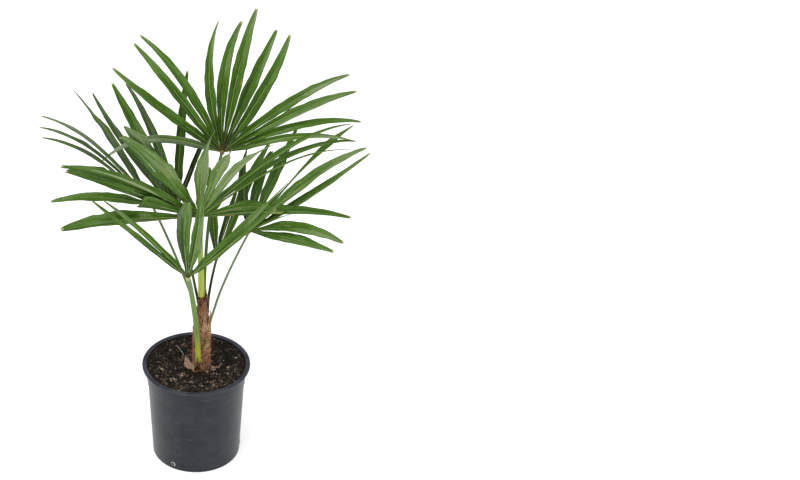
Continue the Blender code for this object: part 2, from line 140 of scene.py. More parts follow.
FANS = {
    "top": Fan(
        foot=(70, 322), drop=14, press=1, steer=((13, 13, 400), (24, 48, 520)), hub=(44, 60, 585),
        stalk=(3.0, 2.5), knuckle=6.0, bearing=90, pitch=55, recurve=0.05, halves=0.9, ends=1.3, leaves=(
            Leaf(-94.5, 205, 36, 0, 14, 5, "blunt", 10, 45),
            Leaf(-52.5, 234, 0, -4, 16, 3, "blunt", 40, 0, 0, 5),
            Leaf(-39, 237, 0, 2, 17, 3, "blunt", 46),
            Leaf(-35, 242, 0, 14, 16, 3, "blunt", 46),
            Leaf(-1.5, 224, 0, -19, 18, 3, "point", 53),
            Leaf(8.5, 225, 0, -16, 21, 3, "blunt", 30),
            Leaf(13.5, 251, 0, -5, 23, 3, "blunt", 28),
            Leaf(24, 228, 0, -1, 21, 2.5, "blunt", 41),
            Leaf(30, 231, 0, 9, 21, 3, "blunt", 38, 0, 0, 5),
            Leaf(58.5, 254, 16, 0, 17, 4, "blunt", 62),
            Leaf(65.5, 251, 13, 0, 17, 4, "blunt", 58),
            Leaf(77.5, 242, 19, 0, 14, 3, "blunt", 70),
            Leaf(85, 225, 18, 0, 13, 4, "point"),
        )),
    "middle": Fan(
        foot=None, steer=((8, -6, 385), (6.5, -22, 455)), hub=(6, -30, 512),
        stalk=(5.5, 4.0), knuckle=7.0, bearing=278, pitch=75, recurve=0.04, halves=-0.8, ends=0.2, seams=True,
        leaves=(
            Leaf(-97, 263, 4, 0, 24, 3, "blunt", 30),
            Leaf(-88, 128, 8, 0, 28, 4, "blunt", 14, 0, 0, 2, -1.5),
            Leaf(-61.5, 290, 21, 0, 6, 4, "point", 40),
            Leaf(-58, 301, 23, 0, 14, 2, "blunt", 46),
            Leaf(-50.5, 318, 17, 0, 15, 3, "point", 24),
            Leaf(-35, 200, 0, 11, 20, 6, "thread", 30),
            Leaf(-16.5, 166, 0, 0, 26, 5, "spike", 34),
            Leaf(-4.5, 207, 0, 7, 24, 5, "point", 30, 60),
            Leaf(30, 262, 0, 0, 25, 5, "late", 14, 0, 0, 0, 7),
            Leaf(33, 249, 0, -4, 38, 4, "cut", 40),
            Leaf(53, 233, 2, 0, 5, 7, "band", 14, 0, 0, 0, -3),
            Leaf(57.5, 277, 7, 0, 24, 3, "cut", 62, 10),
            Leaf(59, 264, -4, 0, 25, 2.6, "cut", 30),
            Leaf(65, 110, 0, 0, 34, 3, "torn", 14, 0, 0, 0, -3),
            Leaf(91.5, 234, 0, 0, 42, 3, "blunt"),
        )),
    "front": Fan(
        foot=(255, 203), drop=3, press=0.5, steer=((3, -24, 275), (-6, -35, 350)), hub=(-14, -45, 397),
        stalk=(4.5, 4.5), knuckle=5.5, bearing=265, pitch=85, recurve=-0.035, halves=-0.5, ends=0.5, leaves=(
            Leaf(-42, 246, 0, 2, 11, 4, "blunt", 150),
            Leaf(-38, 271, 0, 2, 15, 4, "thread", 14),
            Leaf(-7.5, 179, 0, -4, 20, 4, "blunt", 26, 0, 0, 0),
            Leaf(0, 162, 0, 5, 29, 4, "broad", 14, 0, 0, 0),
            Leaf(41.5, 211, 0, -10, 12, 4, "blunt", 62),
            Leaf(45.5, 223, 0, -5, 12, 3, "blunt"),
        )),
    "right": Fan(
        foot=(350, 262), drop=26, press=3.2, steer=((24, 0, 305), (62, 12, 390)), hub=(91, 15, 453),
        stalk=(2.6, 2.2), knuckle=5.0, bearing=30, pitch=40, recurve=0.04, halves=0.5, ends=0.6, leaves=(
            Leaf(-53.5, 178, 0, -6, 20, 2, "point", 22),
            Leaf(-35, 156, 0, -3, 22, 2, "broad", 24, 0, 0, -2),
            Leaf(-23.5, 203, 0, 9, 23, 3, "blunt", 20),
            Leaf(4, 254, 0, -3, 15, 4, "late", 24),
            Leaf(18, 250, 8, 0, 24, 4.6, "blunt", 30),
            Leaf(21.5, 253, -17, 0, 16, 4, "blunt", 24),
            Leaf(34.5, 84, 0, 0, 5, 6, "point", 12),
            Leaf(63.5, 207, 14, 0, 23, 4, "blunt", 24),
            Leaf(69, 196, 3, 0, 20, 4, "blunt"),
        )),
    "rear": Fan(
        foot=(30, 298), drop=16, press=1, steer=((21, 16, 325), (29, 40, 352)), hub=(35, 55, 367),
        stalk=(2.6, 2.2), knuckle=4.0, bearing=70, pitch=35, recurve=0.05, halves=0.5, ends=0.5, leaves=(
            Leaf(-20.5, 178, 0, 1, 18, 3, "blunt", 24),
            Leaf(-0.5, 140, 0, 0, 12, 2, "blunt", 30),
            Leaf(7.5, 235, 0, -2, 20, 3, "blunt", 20),
            Leaf(28, 141, 0, 0, 12, 2, "blunt"),
        )),
    "left": Fan(
        foot=(180, 300), drop=20, press=1, steer=((-12, 5, 345), (-42, 9, 430)), hub=(-75, 10, 510),
        stalk=(2.8, 2.5), knuckle=5.0, bearing=165, pitch=40, recurve=0.04, halves=0.5, ends=0.8, leaves=(
            Leaf(-49.5, 239, 5, 0, 20, 3.8, "blunt", 22),
            Leaf(-29, 179, 14, 0, 28, 3, "cut", 30),
            Leaf(-15.5, 231, 11, 0, 12, 3, "blunt", 40, 0, 3),
            Leaf(-10.5, 239, 13, 0, 12, 3, "blunt", 40, 0, 3),
            Leaf(-4, 244, 13, 0, 12, 4, "blunt", 24, 0, 4),
            Leaf(25.5, 240, 0, -6, 20, 3, "whip"),
        )),
    "rear_left": Fan(
        foot=(130, 305), drop=18, press=1, steer=((-3, 14, 345), (-18, 45, 420)), hub=(-34, 70, 465),
        stalk=(2.6, 2.2), knuckle=4.0, bearing=125, pitch=50, recurve=0.05, halves=0.7, ends=0.6, leaves=(
            Leaf(-46, 130, 2, 0, 12, 1, "blunt", 20),
            Leaf(-16.5, 244, 0, -15, 15, 3, "blunt", 40),
            Leaf(-6.5, 240, 0, -6, 24, 3, "blunt", 44),
            Leaf(-0.5, 231, 0, 5, 17, 3, "blunt", 26),
            Leaf(29, 248, 0, -10, 17, 2, "blunt", 20),
            Leaf(47.5, 168, 0, -6, 10, 1, "blunt"),
        )),
}

# Marks on leaflets, by fan and the leaflet's angle: from one distance from the hub to another, on faces
# numbered 0 to 14 across the leaflet, in a finish. sheen is one shade paler, a painted highlight on pleats,
# glossy patches and halves of the fold that catch the light; deep is two shades darker, a painted shade in a
# fold of the leaflet; and waxy is the same shade greyed by a bloom of wax.
MARKS = {
    ("middle", 57.5): ((170, 215, 8, 10, "sheen"), (15, 70, 14, 14, "rib"), (20, 160, 4, 4, "sheen")),
    ("middle", 59): ((70, 130, 3, 8, "deep"), (60, 200, 6, 6, "sheen")),
    ("middle", 65): ((20, 104, 4, 4, "deep"), (20, 104, 11, 11, "deep"), (20, 104, 9, 9, "sheen")),
    ("middle", -88): ((20, 110, 3, 3, "amber"), (20, 110, 7, 7, "amber"), (20, 110, 11, 11, "sheen")),
    ("middle", 33): ((160, 205, 10, 10, "amber"), (70, 128, 5, 5, "amber"), (120, 150, 12, 12, "amber"),
                     (40, 200, 3, 3, "sheen"), (40, 200, 12, 12, "sheen"), (60, 180, 9, 9, "sheen")),
    ("middle", 91.5): ((20, 120, 13, 14, "amber"), (80, 104, 3, 8, "sheen"), (80, 100, 4, 6, "sheen"),
                       (30, 190, 10, 10, "sheen")),
    ("middle", -97): ((10, 62, 0, 1, "ochre"), (120, 150, 0, 3, "rib"), (126, 138, 0, 0, "ochre"),
                      (20, 120, 4, 4, "sheen")),
    ("middle", -50.5): ((20, 220, 3, 3, "sheen"), (20, 200, 11, 11, "sheen")),
    ("middle", -58): ((20, 200, 4, 4, "sheen"), (20, 200, 11, 12, "sheen")),
    ("middle", -35): ((20, 140, 4, 4, "rib"), (20, 140, 11, 11, "rib")),
    ("middle", -16.5): ((20, 120, 4, 4, "rib"), (20, 110, 10, 10, "rib")),
    ("middle", -4.5): ((20, 120, 4, 4, "sheen"), (20, 130, 10, 10, "amber")),
    ("front", 0): ((20, 130, 9, 10, "deep"), (10, 160, 11, 14, "waxy")),
    ("front", -7.5): ((20, 140, 9, 10, "deep"), (10, 190, 0, 6, "sheen")),
    ("top", 13.5): ((118, 128, 13, 14, "ochre"),),
    ("right", -35): ((126, 140, 8, 12, "brown"),),
    ("right", 18): ((60, 200, 10, 12, "sheen"),),
    ("right", 63.5): ((74, 94, 2, 6, "sheen"),),
    ("right", 69): ((82, 100, 8, 12, "sheen"),),
}

# Leaflets that the bloom of wax greys from end to end, and how far it takes their green to grey
WAXY_LEAVES = {("left", -29), ("left", -15.5), ("left", -10.5), ("left", -4), ("left", 25.5), ("top", -94.5),
               ("rear_left", -46), ("rear_left", -16.5), ("rear_left", -0.5)}
WAX_ALL_OVER = (0, 400, 0, 14, "waxy")
BLOOM = 0.52

# Finishes of leaflets by number: the shades of green first, then these
SHADES = 8
RIB, OCHRE, STRAW, BROWN, AMBER, WAXY = range(SHADES, SHADES + 6)
MARK_FINISHES = {"rib": RIB, "ochre": OCHRE, "brown": BROWN, "amber": AMBER}

# Stalks: length over which the sheathing foot is pressed into the trunk and over which it narrows, the bulb
# at the hub and the tongue beyond it as parts of the knuckle radius, and how far the tongue reaches in
# knuckle radii
PRESS_LENGTH, FLARE_LENGTH = 42, 14
BULB, TONGUE, TONGUE_REACH = 0.68, 0.34, 3.6

# Section of a leaflet: half width of its flat rib and height of its fine pleats, then, as parts of the half
# width, how far its halves arch and how far its free edges rise
RIB_HALF_WIDTH, PLEAT = 0.38, 0.16
ARCH, EDGE_RISE = 0.14, 0.3

# Unevenness of a leaflet's edges: over what length and by what part of the half width they waver sideways and
# ripple up and down
WAVER_LENGTH, WAVER = 14, 0.08
RIPPLE_LENGTH, RIPPLE = 26, 0.14

# Distances from the hub out to which a leaflet has the hub's colour, its pale rib, which is longer on every
# other leaflet, and its pale seam, and the length over which the painted shade at its joined base fades
HUB_END, RIB_END, RIB_MORE, SEAM_END, BASE_LENGTH = 13, 75, 60, 45, 55

# Mesh of a leaflet: columns on each side of the midrib, close rows near the hub, then even rows to the tip
HALF_COLUMNS = 8
NEAR_STEP, NEAR_END = 2.6, 76.0
FAR_ROWS = 44

# Colours of each stalk at its foot, along it and at its tip, and of the collar round its hub
STALK_COLOURS = {
    "top": ("#56702a", "#3e5c22", "#5c7c3a"),
    "middle": ("#abb244", "#9cb748", "#86a64e"),
    "front": ("#aebb38", "#66853c", "#708a52"),
    "right": ("#8a9460", "#71825f", "#66794f"),
    # The rear stalk's near-black colours are painted shade: it lies under the fans above it
    "rear": ("#241f18", "#2c3322", "#3c4728"),
    "left": ("#3b4a22", "#56683c", "#71825f"),
    "rear_left": ("#3b4a22", "#4a5a34", "#5c6c44"),
}
COLLAR_COLOURS = {"front": "#b4b576", "middle": "#a8a458", "top": "#7d6a36", "left": "#6a6a3a"}
PLAIN_COLLAR = "#5c5c34"

# Floor: radii of its rings, and its height, just under the pot
FLOOR_RINGS, FLOOR_HEIGHT = (30000, 300, 0), -0.2

# Lamps: name, place, size and power in watts, and the height that they are aimed at, in metres
LAMPS = (
    ("key_light", (-0.7, -0.8, 3.3), 2.2, 50.0),
    ("fill_light", (2.2, -1.6, 2.2), 2.0, 10.0),
)
LAMP_AIM = 0.4
PICTURE_WIDTH, SENSOR_WIDTH = 800, 36
AXIS_COLUMN = 196.3          # where the pot's axis falls across the picture

# The blades of the frame that each fan's leaflets stand for
BLADES = {name: sorted(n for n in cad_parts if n.startswith(name + "_blade_")) for name in FANS}


def linear(code):
    """The linear colour of an sRGB hex value."""
    parts = np.array([int(code[k:k + 2], 16) for k in (1, 3, 5)]) / 255
    return tuple(np.where(parts <= 0.04045, parts / 12.92, ((parts + 0.055) / 1.055) ** 2.4))


def unit(vectors):
    """Vectors at length one, along the last axis."""
    return vectors / np.linalg.norm(vectors, axis=-1, keepdims=True)


def round_axis(radius, angle, height):
    """Points from a radius and an angle in radians round Z, and a height."""
    return np.stack(np.broadcast_arrays(radius * np.cos(angle), radius * np.sin(angle), height), -1)


def smooth_step(x):
    """0 below 0, 1 above 1, and a smooth S between."""
    x = np.clip(x, 0, 1)
    return x * x * (3 - 2 * x)


def hashed(key):
    """A random number from -1 to 1 for each whole number, by mixing its bits."""
    key = key & 0xFFFFFFFF
    key = (key ^ (key >> 15)) * 0x2C1B3C6D & 0xFFFFFFFF
    key = (key ^ (key >> 12)) * 0x297A2D39 & 0xFFFFFFFF
    return (key ^ (key >> 15)) / 0x7FFFFFFF - 1


def noise(points, size, seed=0):
    """Smooth noise from -1 to 1: each corner of a lattice of that cell size has a random number, and a point
    takes the mean of the eight corners round it, each weighted by a smooth step of its nearness."""
    at = np.asarray(points, float) / size
    cell = np.floor(at).astype(np.int64)
    share = smooth_step(at - cell)
    total = np.zeros(at.shape[:-1])
    for corner in product((0, 1), repeat=3):
        key = ((cell + corner) * (7919, 104729, 1299709)).sum(-1) + seed * 15485863
        total += np.where(corner, share, 1 - share).prod(-1) * hashed(key)
    return total


def along_noise(values, size, seed):
    """The same noise along one line."""
    line = np.zeros(np.shape(values) + (3,))
    line[..., 0] = values
    return noise(line, size, seed)


def new_object(name, data):
    """A new object in the scene."""
    thing = bpy.data.objects.new(name, data)
    bpy.context.scene.collection.objects.link(thing)
    return thing


class Shape:
    """Points, faces, map places and finish numbers of one piece, gathered patch by patch, in millimetres."""

    def __init__(self):
        self.points, self.corners, self.sizes, self.places, self.finishes = [], [], [], [], []
        self.count = 0

    def add_points(self, points):
        """Adds points (..., 3) and gives the number of the first."""
        first = self.count
        self.points.append(points.reshape(-1, 3))
        self.count += points.size // 3
        return first

    def add_faces(self, faces, places, finish):
        """Adds faces (m, k) that number the points, each corner's place on the map (m, k, 2), and one finish
        number for all or one for each face."""
        self.corners.append(faces.ravel())
        self.sizes.append(np.full(len(faces), faces.shape[1]))
        self.places.append(places.reshape(-1, 2))
        self.finishes.append(np.broadcast_to(finish, len(faces)))

    def add_grid(self, points, places, finish=0):
        """Adds a grid (rows, columns, 3) with its map places (rows, columns, 2). A face looks towards the
        cross product of its column direction and its row direction. Rows or columns that meet are merged
        later."""
        rows, columns = points.shape[:2]
        number = np.arange(rows * columns).reshape(rows, columns)
        faces = np.stack((number[:-1, :-1], number[:-1, 1:], number[1:, 1:], number[1:, :-1]), -1)
        faces = faces.reshape(-1, 4)
        finish = np.ravel(finish) if np.ndim(finish) else finish
        self.add_faces(self.add_points(points) + faces, places.reshape(-1, 2)[faces], finish)

    def add_copies(self, points, kinds, finish):
        """Adds many copies of one small shape: the points of each (copies, points, 3), the faces of one
        copy as an array for each number of corners, and a finish number for each copy."""
        first = self.add_points(points)
        steps = np.arange(len(points))[:, None, None] * points.shape[1]
        spots = points.reshape(-1, 3)
        for faces in kinds:
            copied = (faces + steps).reshape(-1, faces.shape[1])
            self.add_faces(first + copied, spots[copied][..., :2], np.repeat(finish, len(faces)))

    def piece(self, name, slot, materials, replaces=(), merge=True):
        """The finished piece: a smooth mesh on the body, with seams and poles merged."""
        mesh = bpy.data.meshes.new(name)
        points, corners, sizes = (np.concatenate(x) for x in (self.points, self.corners, self.sizes))
        mesh.vertices.add(len(points))
        mesh.vertices.foreach_set("co", (points * MM).astype(np.float32).ravel())
        mesh.loops.add(len(corners))
        mesh.loops.foreach_set("vertex_index", corners.astype(np.int32))
        mesh.polygons.add(len(sizes))
        mesh.polygons.foreach_set("loop_start", (np.cumsum(sizes) - sizes).astype(np.int32))
        mesh.polygons.foreach_set("material_index", np.concatenate(self.finishes).astype(np.int32))
        mesh.update(calc_edges=True)
        layer = mesh.uv_layers.new(name=SURFACE_MAP)
        layer.data.foreach_set("uv", (np.concatenate(self.places) * MM).astype(np.float32).ravel())
        if merge:
            work = bmesh.new()
            work.from_mesh(mesh)
            bmesh.ops.remove_doubles(work, verts=work.verts, dist=MERGE_DISTANCE)
            bmesh.ops.dissolve_degenerate(work, edges=work.edges, dist=LEAST_EDGE)
            work.to_mesh(mesh)
            work.free()
        for material in materials:
            mesh.materials.append(material)
        mesh.shade_smooth()
        thing = new_object(name, mesh)
        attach(thing, BODY)
        if replaces:
            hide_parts(*replaces)
        return thing


def solidify(thing, thickness):
    """Gives a sheet its thickness, in millimetres, towards its under side."""
    wall = thing.modifiers.new("thickness", "SOLIDIFY")
    wall.thickness = thickness * MM
    wall.offset = -1.0


def feed(tree, target, inputs):
    """Gives a node's sockets, by name or number, a value or another node's output."""
    for key, value in inputs.items():
        if isinstance(value, bpy.types.NodeSocket):
            tree.links.new(value, target.inputs[key])
        else:
            target.inputs[key].default_value = value


def node(tree, kind, inputs=None, **settings):
    """A new shader node, with what its sockets are fed and its settings."""
    new = tree.nodes.new("ShaderNode" + kind)
    for name, value in settings.items():
        setattr(new, name, value)
    feed(tree, new, inputs or {})
    return new


def new_material(name, **sockets):
    """A Principled material with plain values set on its sockets, and its node tree and shader."""
    material = bpy.data.materials.new(name)
    material.use_nodes = True
    tree = material.node_tree
    shader = tree.nodes["Principled BSDF"]
    feed(tree, shader, {key.replace("_", " "): value for key, value in sockets.items()})
    return material, tree, shader


def patterned(name, colours, cell, bump, roughness, on_map=False, detail=3.0, sharp=0.2, **sockets):
    """A material whose colour runs from the first to the second of two linear colours with a noise of that
    cell size in millimetres (x, y, z, or one size for all), which also lifts the surface by bump
    millimetres and moves its roughness between two values. With only one colour the colour is even. on_map
    takes the noise across and along the piece's own map instead of object space; sharp is how far from the
    noise's mean both ends of the range lie."""
    material, tree, shader = new_material(name, **sockets)
    if on_map:
        where = node(tree, "UVMap", uv_map=SURFACE_MAP).outputs[0]
    else:
        where = node(tree, "TexCoord").outputs["Object"]
    sizes = tuple(np.broadcast_to(cell, 3) * MM)
    scaled = node(tree, "Mapping", {"Vector": where, "Scale": sizes}, vector_type="TEXTURE")
    grain = node(tree, "TexNoise", {"Vector": scaled.outputs[0], "Scale": 1.0, "Detail": detail})
    ends = {"Value": grain.outputs[0], "From Min": 0.5 - sharp, "From Max": 0.5 + sharp}
    colour = (*colours[0], 1)
    if len(colours) == 2:
        spread = node(tree, "MapRange", ends)
        colour = node(tree, "Mix", {0: spread.outputs[0], 6: colour, 7: (*colours[1], 1)},
                      data_type="RGBA").outputs[2]
    rough = node(tree, "MapRange", {**ends, "To Min": roughness[0], "To Max": roughness[1]})
    relief = node(tree, "Bump", {"Height": grain.outputs[0], "Strength": 1.0, "Distance": bump * MM})
    feed(tree, shader, {"Base Color": colour, "Roughness": rough.outputs[0], "Normal": relief.outputs[0]})
    return material


def shaded(colour, share):
    """A colour made darker or paler by a share."""
    return tuple(min(part * share, 1.0) for part in colour)


def colour_setting(name, description, code):
    """A colour property, from an sRGB hex value."""
    return FloatVectorProperty(name=name, description=description, subtype="COLOR", size=3, min=0, max=1,
                               default=linear(code))


def length_setting(name, description, default):
    """A length property, from a default in millimetres."""
    return FloatProperty(name=name, description=description, default=default * MM, unit="LENGTH", min=0)


class PotSettings(bpy.types.PropertyGroup):
    """Sizes and colours of the nursery pot."""

    sides: IntProperty(name="Sides", description="Faces round the pot", default=192, min=48)
    unevenness: length_setting("Unevenness", "How far the moulded wall strays from a true circle", 0.12)
    plastic: colour_setting("Plastic", "Moulded wall of the pot", "#151a25")
    # The worn colour is the wall's scuffs and dust, and on the rim it is also painted reflection
    plastic_worn_and_sheen: colour_setting("Worn plastic", "Scuffed and dusty places of the wall", "#4e535c")
    flash: colour_setting("Flash", "Thin torn plastic round the drain holes", "#b5b8a8")


class SoilSettings(bpy.types.PropertyGroup):
    """Colours and amounts of the potting soil."""

    seed: IntProperty(name="Seed", description="Start of the random draws", default=11, min=0)
    crumbs: IntProperty(name="Crumbs", description="Loose crumbs on the soil", default=3400, min=0)
    fibres: IntProperty(name="Fibres", description="Loose fibres on the soil", default=420, min=0)
    peat: colour_setting("Peat", "Moist peat", "#15100a")
    peat_pale: colour_setting("Dry peat", "Drier crumbs of peat", "#6a5a4a")
    bark: colour_setting("Bark", "Reddish chips of bark", "#6a5142")
    tan: colour_setting("Tan", "Pale tan crumbs", "#b09f88")
    moss: colour_setting("Moss", "Yellowish green moss", "#5c5638")


class TrunkSettings(bpy.types.PropertyGroup):
    """Colours and amounts of the trunk, its sheaths and its fibres."""

    seed: IntProperty(name="Seed", description="Start of the random draws", default=5, min=0)
    hairs: IntProperty(name="Hairs", description="Loose fibres that stand off the trunk", default=700, min=0)
    fibre: colour_setting("Fibre", "Reddish brown leaf-base fibre", "#a0684a")
    fibre_pale: colour_setting("Pale fibre", "Worn, paler fibre", "#d0aa86")
    papery: colour_setting("Papery sheath", "Old papery leaf base at the foot", "#c3a28a")
    green: colour_setting("Green sheath", "Living leaf base that shows through the fibre", "#8a9a4a")
    scar: colour_setting("Scar", "Dark torn edge of a sheath", "#2c1a12")


class LeafSettings(bpy.types.PropertyGroup):
    """Colours and thickness of the leaflets."""

    seed: IntProperty(name="Seed", description="Start of the random draws", default=3, min=0)
    thickness: length_setting("Thickness", "Thickness of a leaflet", 0.405)
    # The deep green is the leaves' darkest green, and also the painted shade at the joined base of each fan
    deep: colour_setting("Deep green", "Darkest leaf green, at the joined base of a fan", "#162303")
    mid: colour_setting("Leaf green", "Green of most leaflets", "#476d15")
    pale: colour_setting("Pale green", "Palest, greyish leaf green", "#8d9c72")
    rib: colour_setting("Rib", "Yellowish green midrib", "#8aa158")
    ochre: colour_setting("Ochre", "Orange-brown ribs round a hub", "#8c7a3c")
    straw: colour_setting("Straw", "Dry straw-coloured tips", "#b0a778")
    brown: colour_setting("Brown", "Dead brown tips and nicks", "#7a6650")
    amber: colour_setting("Amber", "Faint scorched streaks", "#7d8444")


class StageSettings(bpy.types.PropertyGroup):
    """Camera, floor and lights."""

    lens: FloatProperty(name="Lens", description="Focal length of the camera", default=131.0, unit="CAMERA")
    distance: length_setting("Distance", "From the camera to the point it is aimed at", 5000.0)
    aim_height: length_setting("Aim height", "Height of that point on the pot's axis", 445.0)
    elevation: FloatProperty(name="Elevation", description="How far the camera looks down", subtype="ANGLE",
                             default=radians(33.6))
    floor: colour_setting("Floor", "Pale floor", "#f4f4f3")
    sky: FloatProperty(name="Sky", description="Strength of the even white light", default=0.62, min=0)
    glow: FloatProperty(name="Glow", description="Light the floor gives off, as a light table does",
                        default=0.5, min=0)


SETTINGS = {"palm_pot": PotSettings, "palm_soil": SoilSettings, "palm_trunk": TrunkSettings,
            "palm_leaf": LeafSettings, "palm_stage": StageSettings}


def turned_grid(radii, heights, sides):
    """Points of a profile turned about Z and its map: the arc length round and the length along the
    profile."""
    angles = np.linspace(0, 2 * np.pi, sides + 1)
    size = len(radii), sides + 1
    radii, heights = (np.broadcast_to(np.reshape(x, (len(x), -1)), size) for x in (radii, heights))
    points = round_axis(radii, angles, heights)
    run = np.cumsum(np.hypot(np.diff(radii[:, 0], prepend=radii[0, 0]), np.diff(heights[:, 0], prepend=0)))
    places = np.stack(np.broadcast_arrays(angles * radii.max(), run[:, None]), -1)
    return points, places


def filleted(corners, spacing):
    """A profile through (radius, height, rounding) corners. Each corner is a quadratic curve that starts
    and ends its rounding away from the corner, and straight runs are divided evenly at about that
    spacing."""
    corners = np.array(corners, float)
    places, rounding = corners[:, :2], corners[:, 2:]
    before = places[1:-1] + unit(places[:-2] - places[1:-1]) * rounding[1:-1]
    after = places[1:-1] + unit(places[2:] - places[1:-1]) * rounding[1:-1]
    t = np.linspace(0, 1, 5)[:, None]
    bends = [(1 - t) ** 2 * a + 2 * t * (1 - t) * c + t * t * b
             for a, c, b in zip(before, places[1:-1], after)]
    stops = [places[:1], *bends, places[-1:]]
    rows = []
    for here, there in zip(stops, stops[1:]):
        count = int(np.linalg.norm(there[0] - here[-1]) // spacing) + 1
        rows += [here, here[-1] + (there[0] - here[-1]) * (np.arange(1, count) / count)[:, None]]
    return np.concatenate(rows + [stops[-1]])


def pot_profile():
    """From the middle of the underside out to the foot, up the wall, round the flange and down the inside."""
    under_flange = POT_HEIGHT - RIM_THICKNESS
    return filleted((
        (0, 0, 0),
        (FOOT_RADIUS - 1.2, 0, 0.6),
        (FOOT_RADIUS, 1.8, 0.8),
        (STEP_RADIUS, STEP_HEIGHT, 0.4),
        (STEP_RADIUS + LEDGE, STEP_HEIGHT + 0.9, 0.4),
        (MOUTH_RADIUS, under_flange, 1.2),
        (RIM_RADIUS, under_flange, 1.0),
        (RIM_RADIUS, POT_HEIGHT, 1.2),
        (MOUTH_RADIUS - WALL, POT_HEIGHT, 1.4),
        (STEP_RADIUS - WALL, STEP_HEIGHT, 2.0),
        (FOOT_RADIUS - WALL, FLOOR, 1.5),
        (0, FLOOR, 0),
    ), 4.0).T


def drain_angles():
    """Where the drain holes are round the pot: at equal steps from the first."""
    return np.radians(DRAIN_FIRST_ANGLE + np.arange(DRAIN_COUNT) * 360 / DRAIN_COUNT)


def cut_drains(pot):
    """Cuts the drain holes through the foot of the wall and keeps the cut mesh."""
    cutters = []
    for angle in drain_angles():
        outward = round_axis(1, angle, 0)
        across = np.array((-sin(angle), cos(angle), 0))
        turn = np.linspace(0, 2 * np.pi, 25)
        ring = DRAIN_RADIUS * (np.cos(turn)[:, None] * across + np.sin(turn)[:, None] * (0, 0, 1))
        reach = FOOT_RADIUS + CUTTER_REACH * np.array((-1, -1, 1, 1))
        size = np.array((0, 1, 1, 0))
        points = reach[:, None, None] * outward + size[:, None, None] * ring + (0, 0, DRAIN_HEIGHT)
        shape = Shape()
        shape.add_grid(points, points[..., :2])
        cutters.append(shape.piece("drain_cutter", "pot_plastic", ()))
        cut = pot.modifiers.new("drain", "BOOLEAN")
        cut.operation = "DIFFERENCE"
        cut.object = cutters[-1]
    bpy.context.view_layer.update()
    done = bpy.data.meshes.new_from_object(pot.evaluated_get(bpy.context.evaluated_depsgraph_get()))
    pot.modifiers.clear()
    pot.data = done
    for cutter in cutters:
        bpy.data.objects.remove(cutter)


def pot_plastic(name, settings, least, most):
    """Polypropylene, injection moulded in dark grey: a satin skin with faint cloudy dulling, and long thin
    scuffs round the wall where pots have been stacked. The scuffs are drawn about 0.8 mm wide, wider than
    real ones. least and most say how dull the clouds are; on the rim they reach much higher, and that paler
    grey is painted reflection where the flange catches the white surround."""
    material, tree, shader = new_material(name, Specular_IOR_Level=0.27)
    own_map = node(tree, "UVMap", uv_map=SURFACE_MAP).outputs[0]
    drawn_out = node(tree, "Mapping", {"Vector": own_map, "Scale": (1 / 0.035, 1 / 0.0016, 1)})
    scuff = node(tree, "TexNoise", {"Vector": drawn_out.outputs[0], "Scale": 1.0, "Detail": 1.0})
    line = node(tree, "MapRange", {"Value": scuff.outputs[0], "From Min": 0.68, "From Max": 0.74})
    where = node(tree, "TexCoord").outputs["Object"]
    cloud = node(tree, "TexNoise", {"Vector": where, "Scale": 1 / 0.03, "Detail": 4.0})
    dull = node(tree, "MapRange", {"Value": cloud.outputs[0], "From Min": 0.35, "From Max": 0.7,
                                   "To Min": least, "To Max": most})
    worn = node(tree, "Math", {0: line.outputs[0], 1: dull.outputs[0]}, operation="MAXIMUM")
    blend = node(tree, "Mix", {0: worn.outputs[0], 6: (*settings.plastic, 1),
                               7: (*settings.plastic_worn_and_sheen, 1)}, data_type="RGBA")
    rough = node(tree, "MapRange", {"Value": worn.outputs[0], "To Min": 0.34, "To Max": 0.5})
    grain = node(tree, "TexNoise", {"Vector": where, "Scale": 1 / 0.0012, "Detail": 2.0})
    relief = node(tree, "Bump", {"Height": grain.outputs[0], "Strength": 1.0, "Distance": 0.02 * MM})
    feed(tree, shader, {"Base Color": blend.outputs[2], "Roughness": rough.outputs[0],
                        "Normal": relief.outputs[0]})
    return material


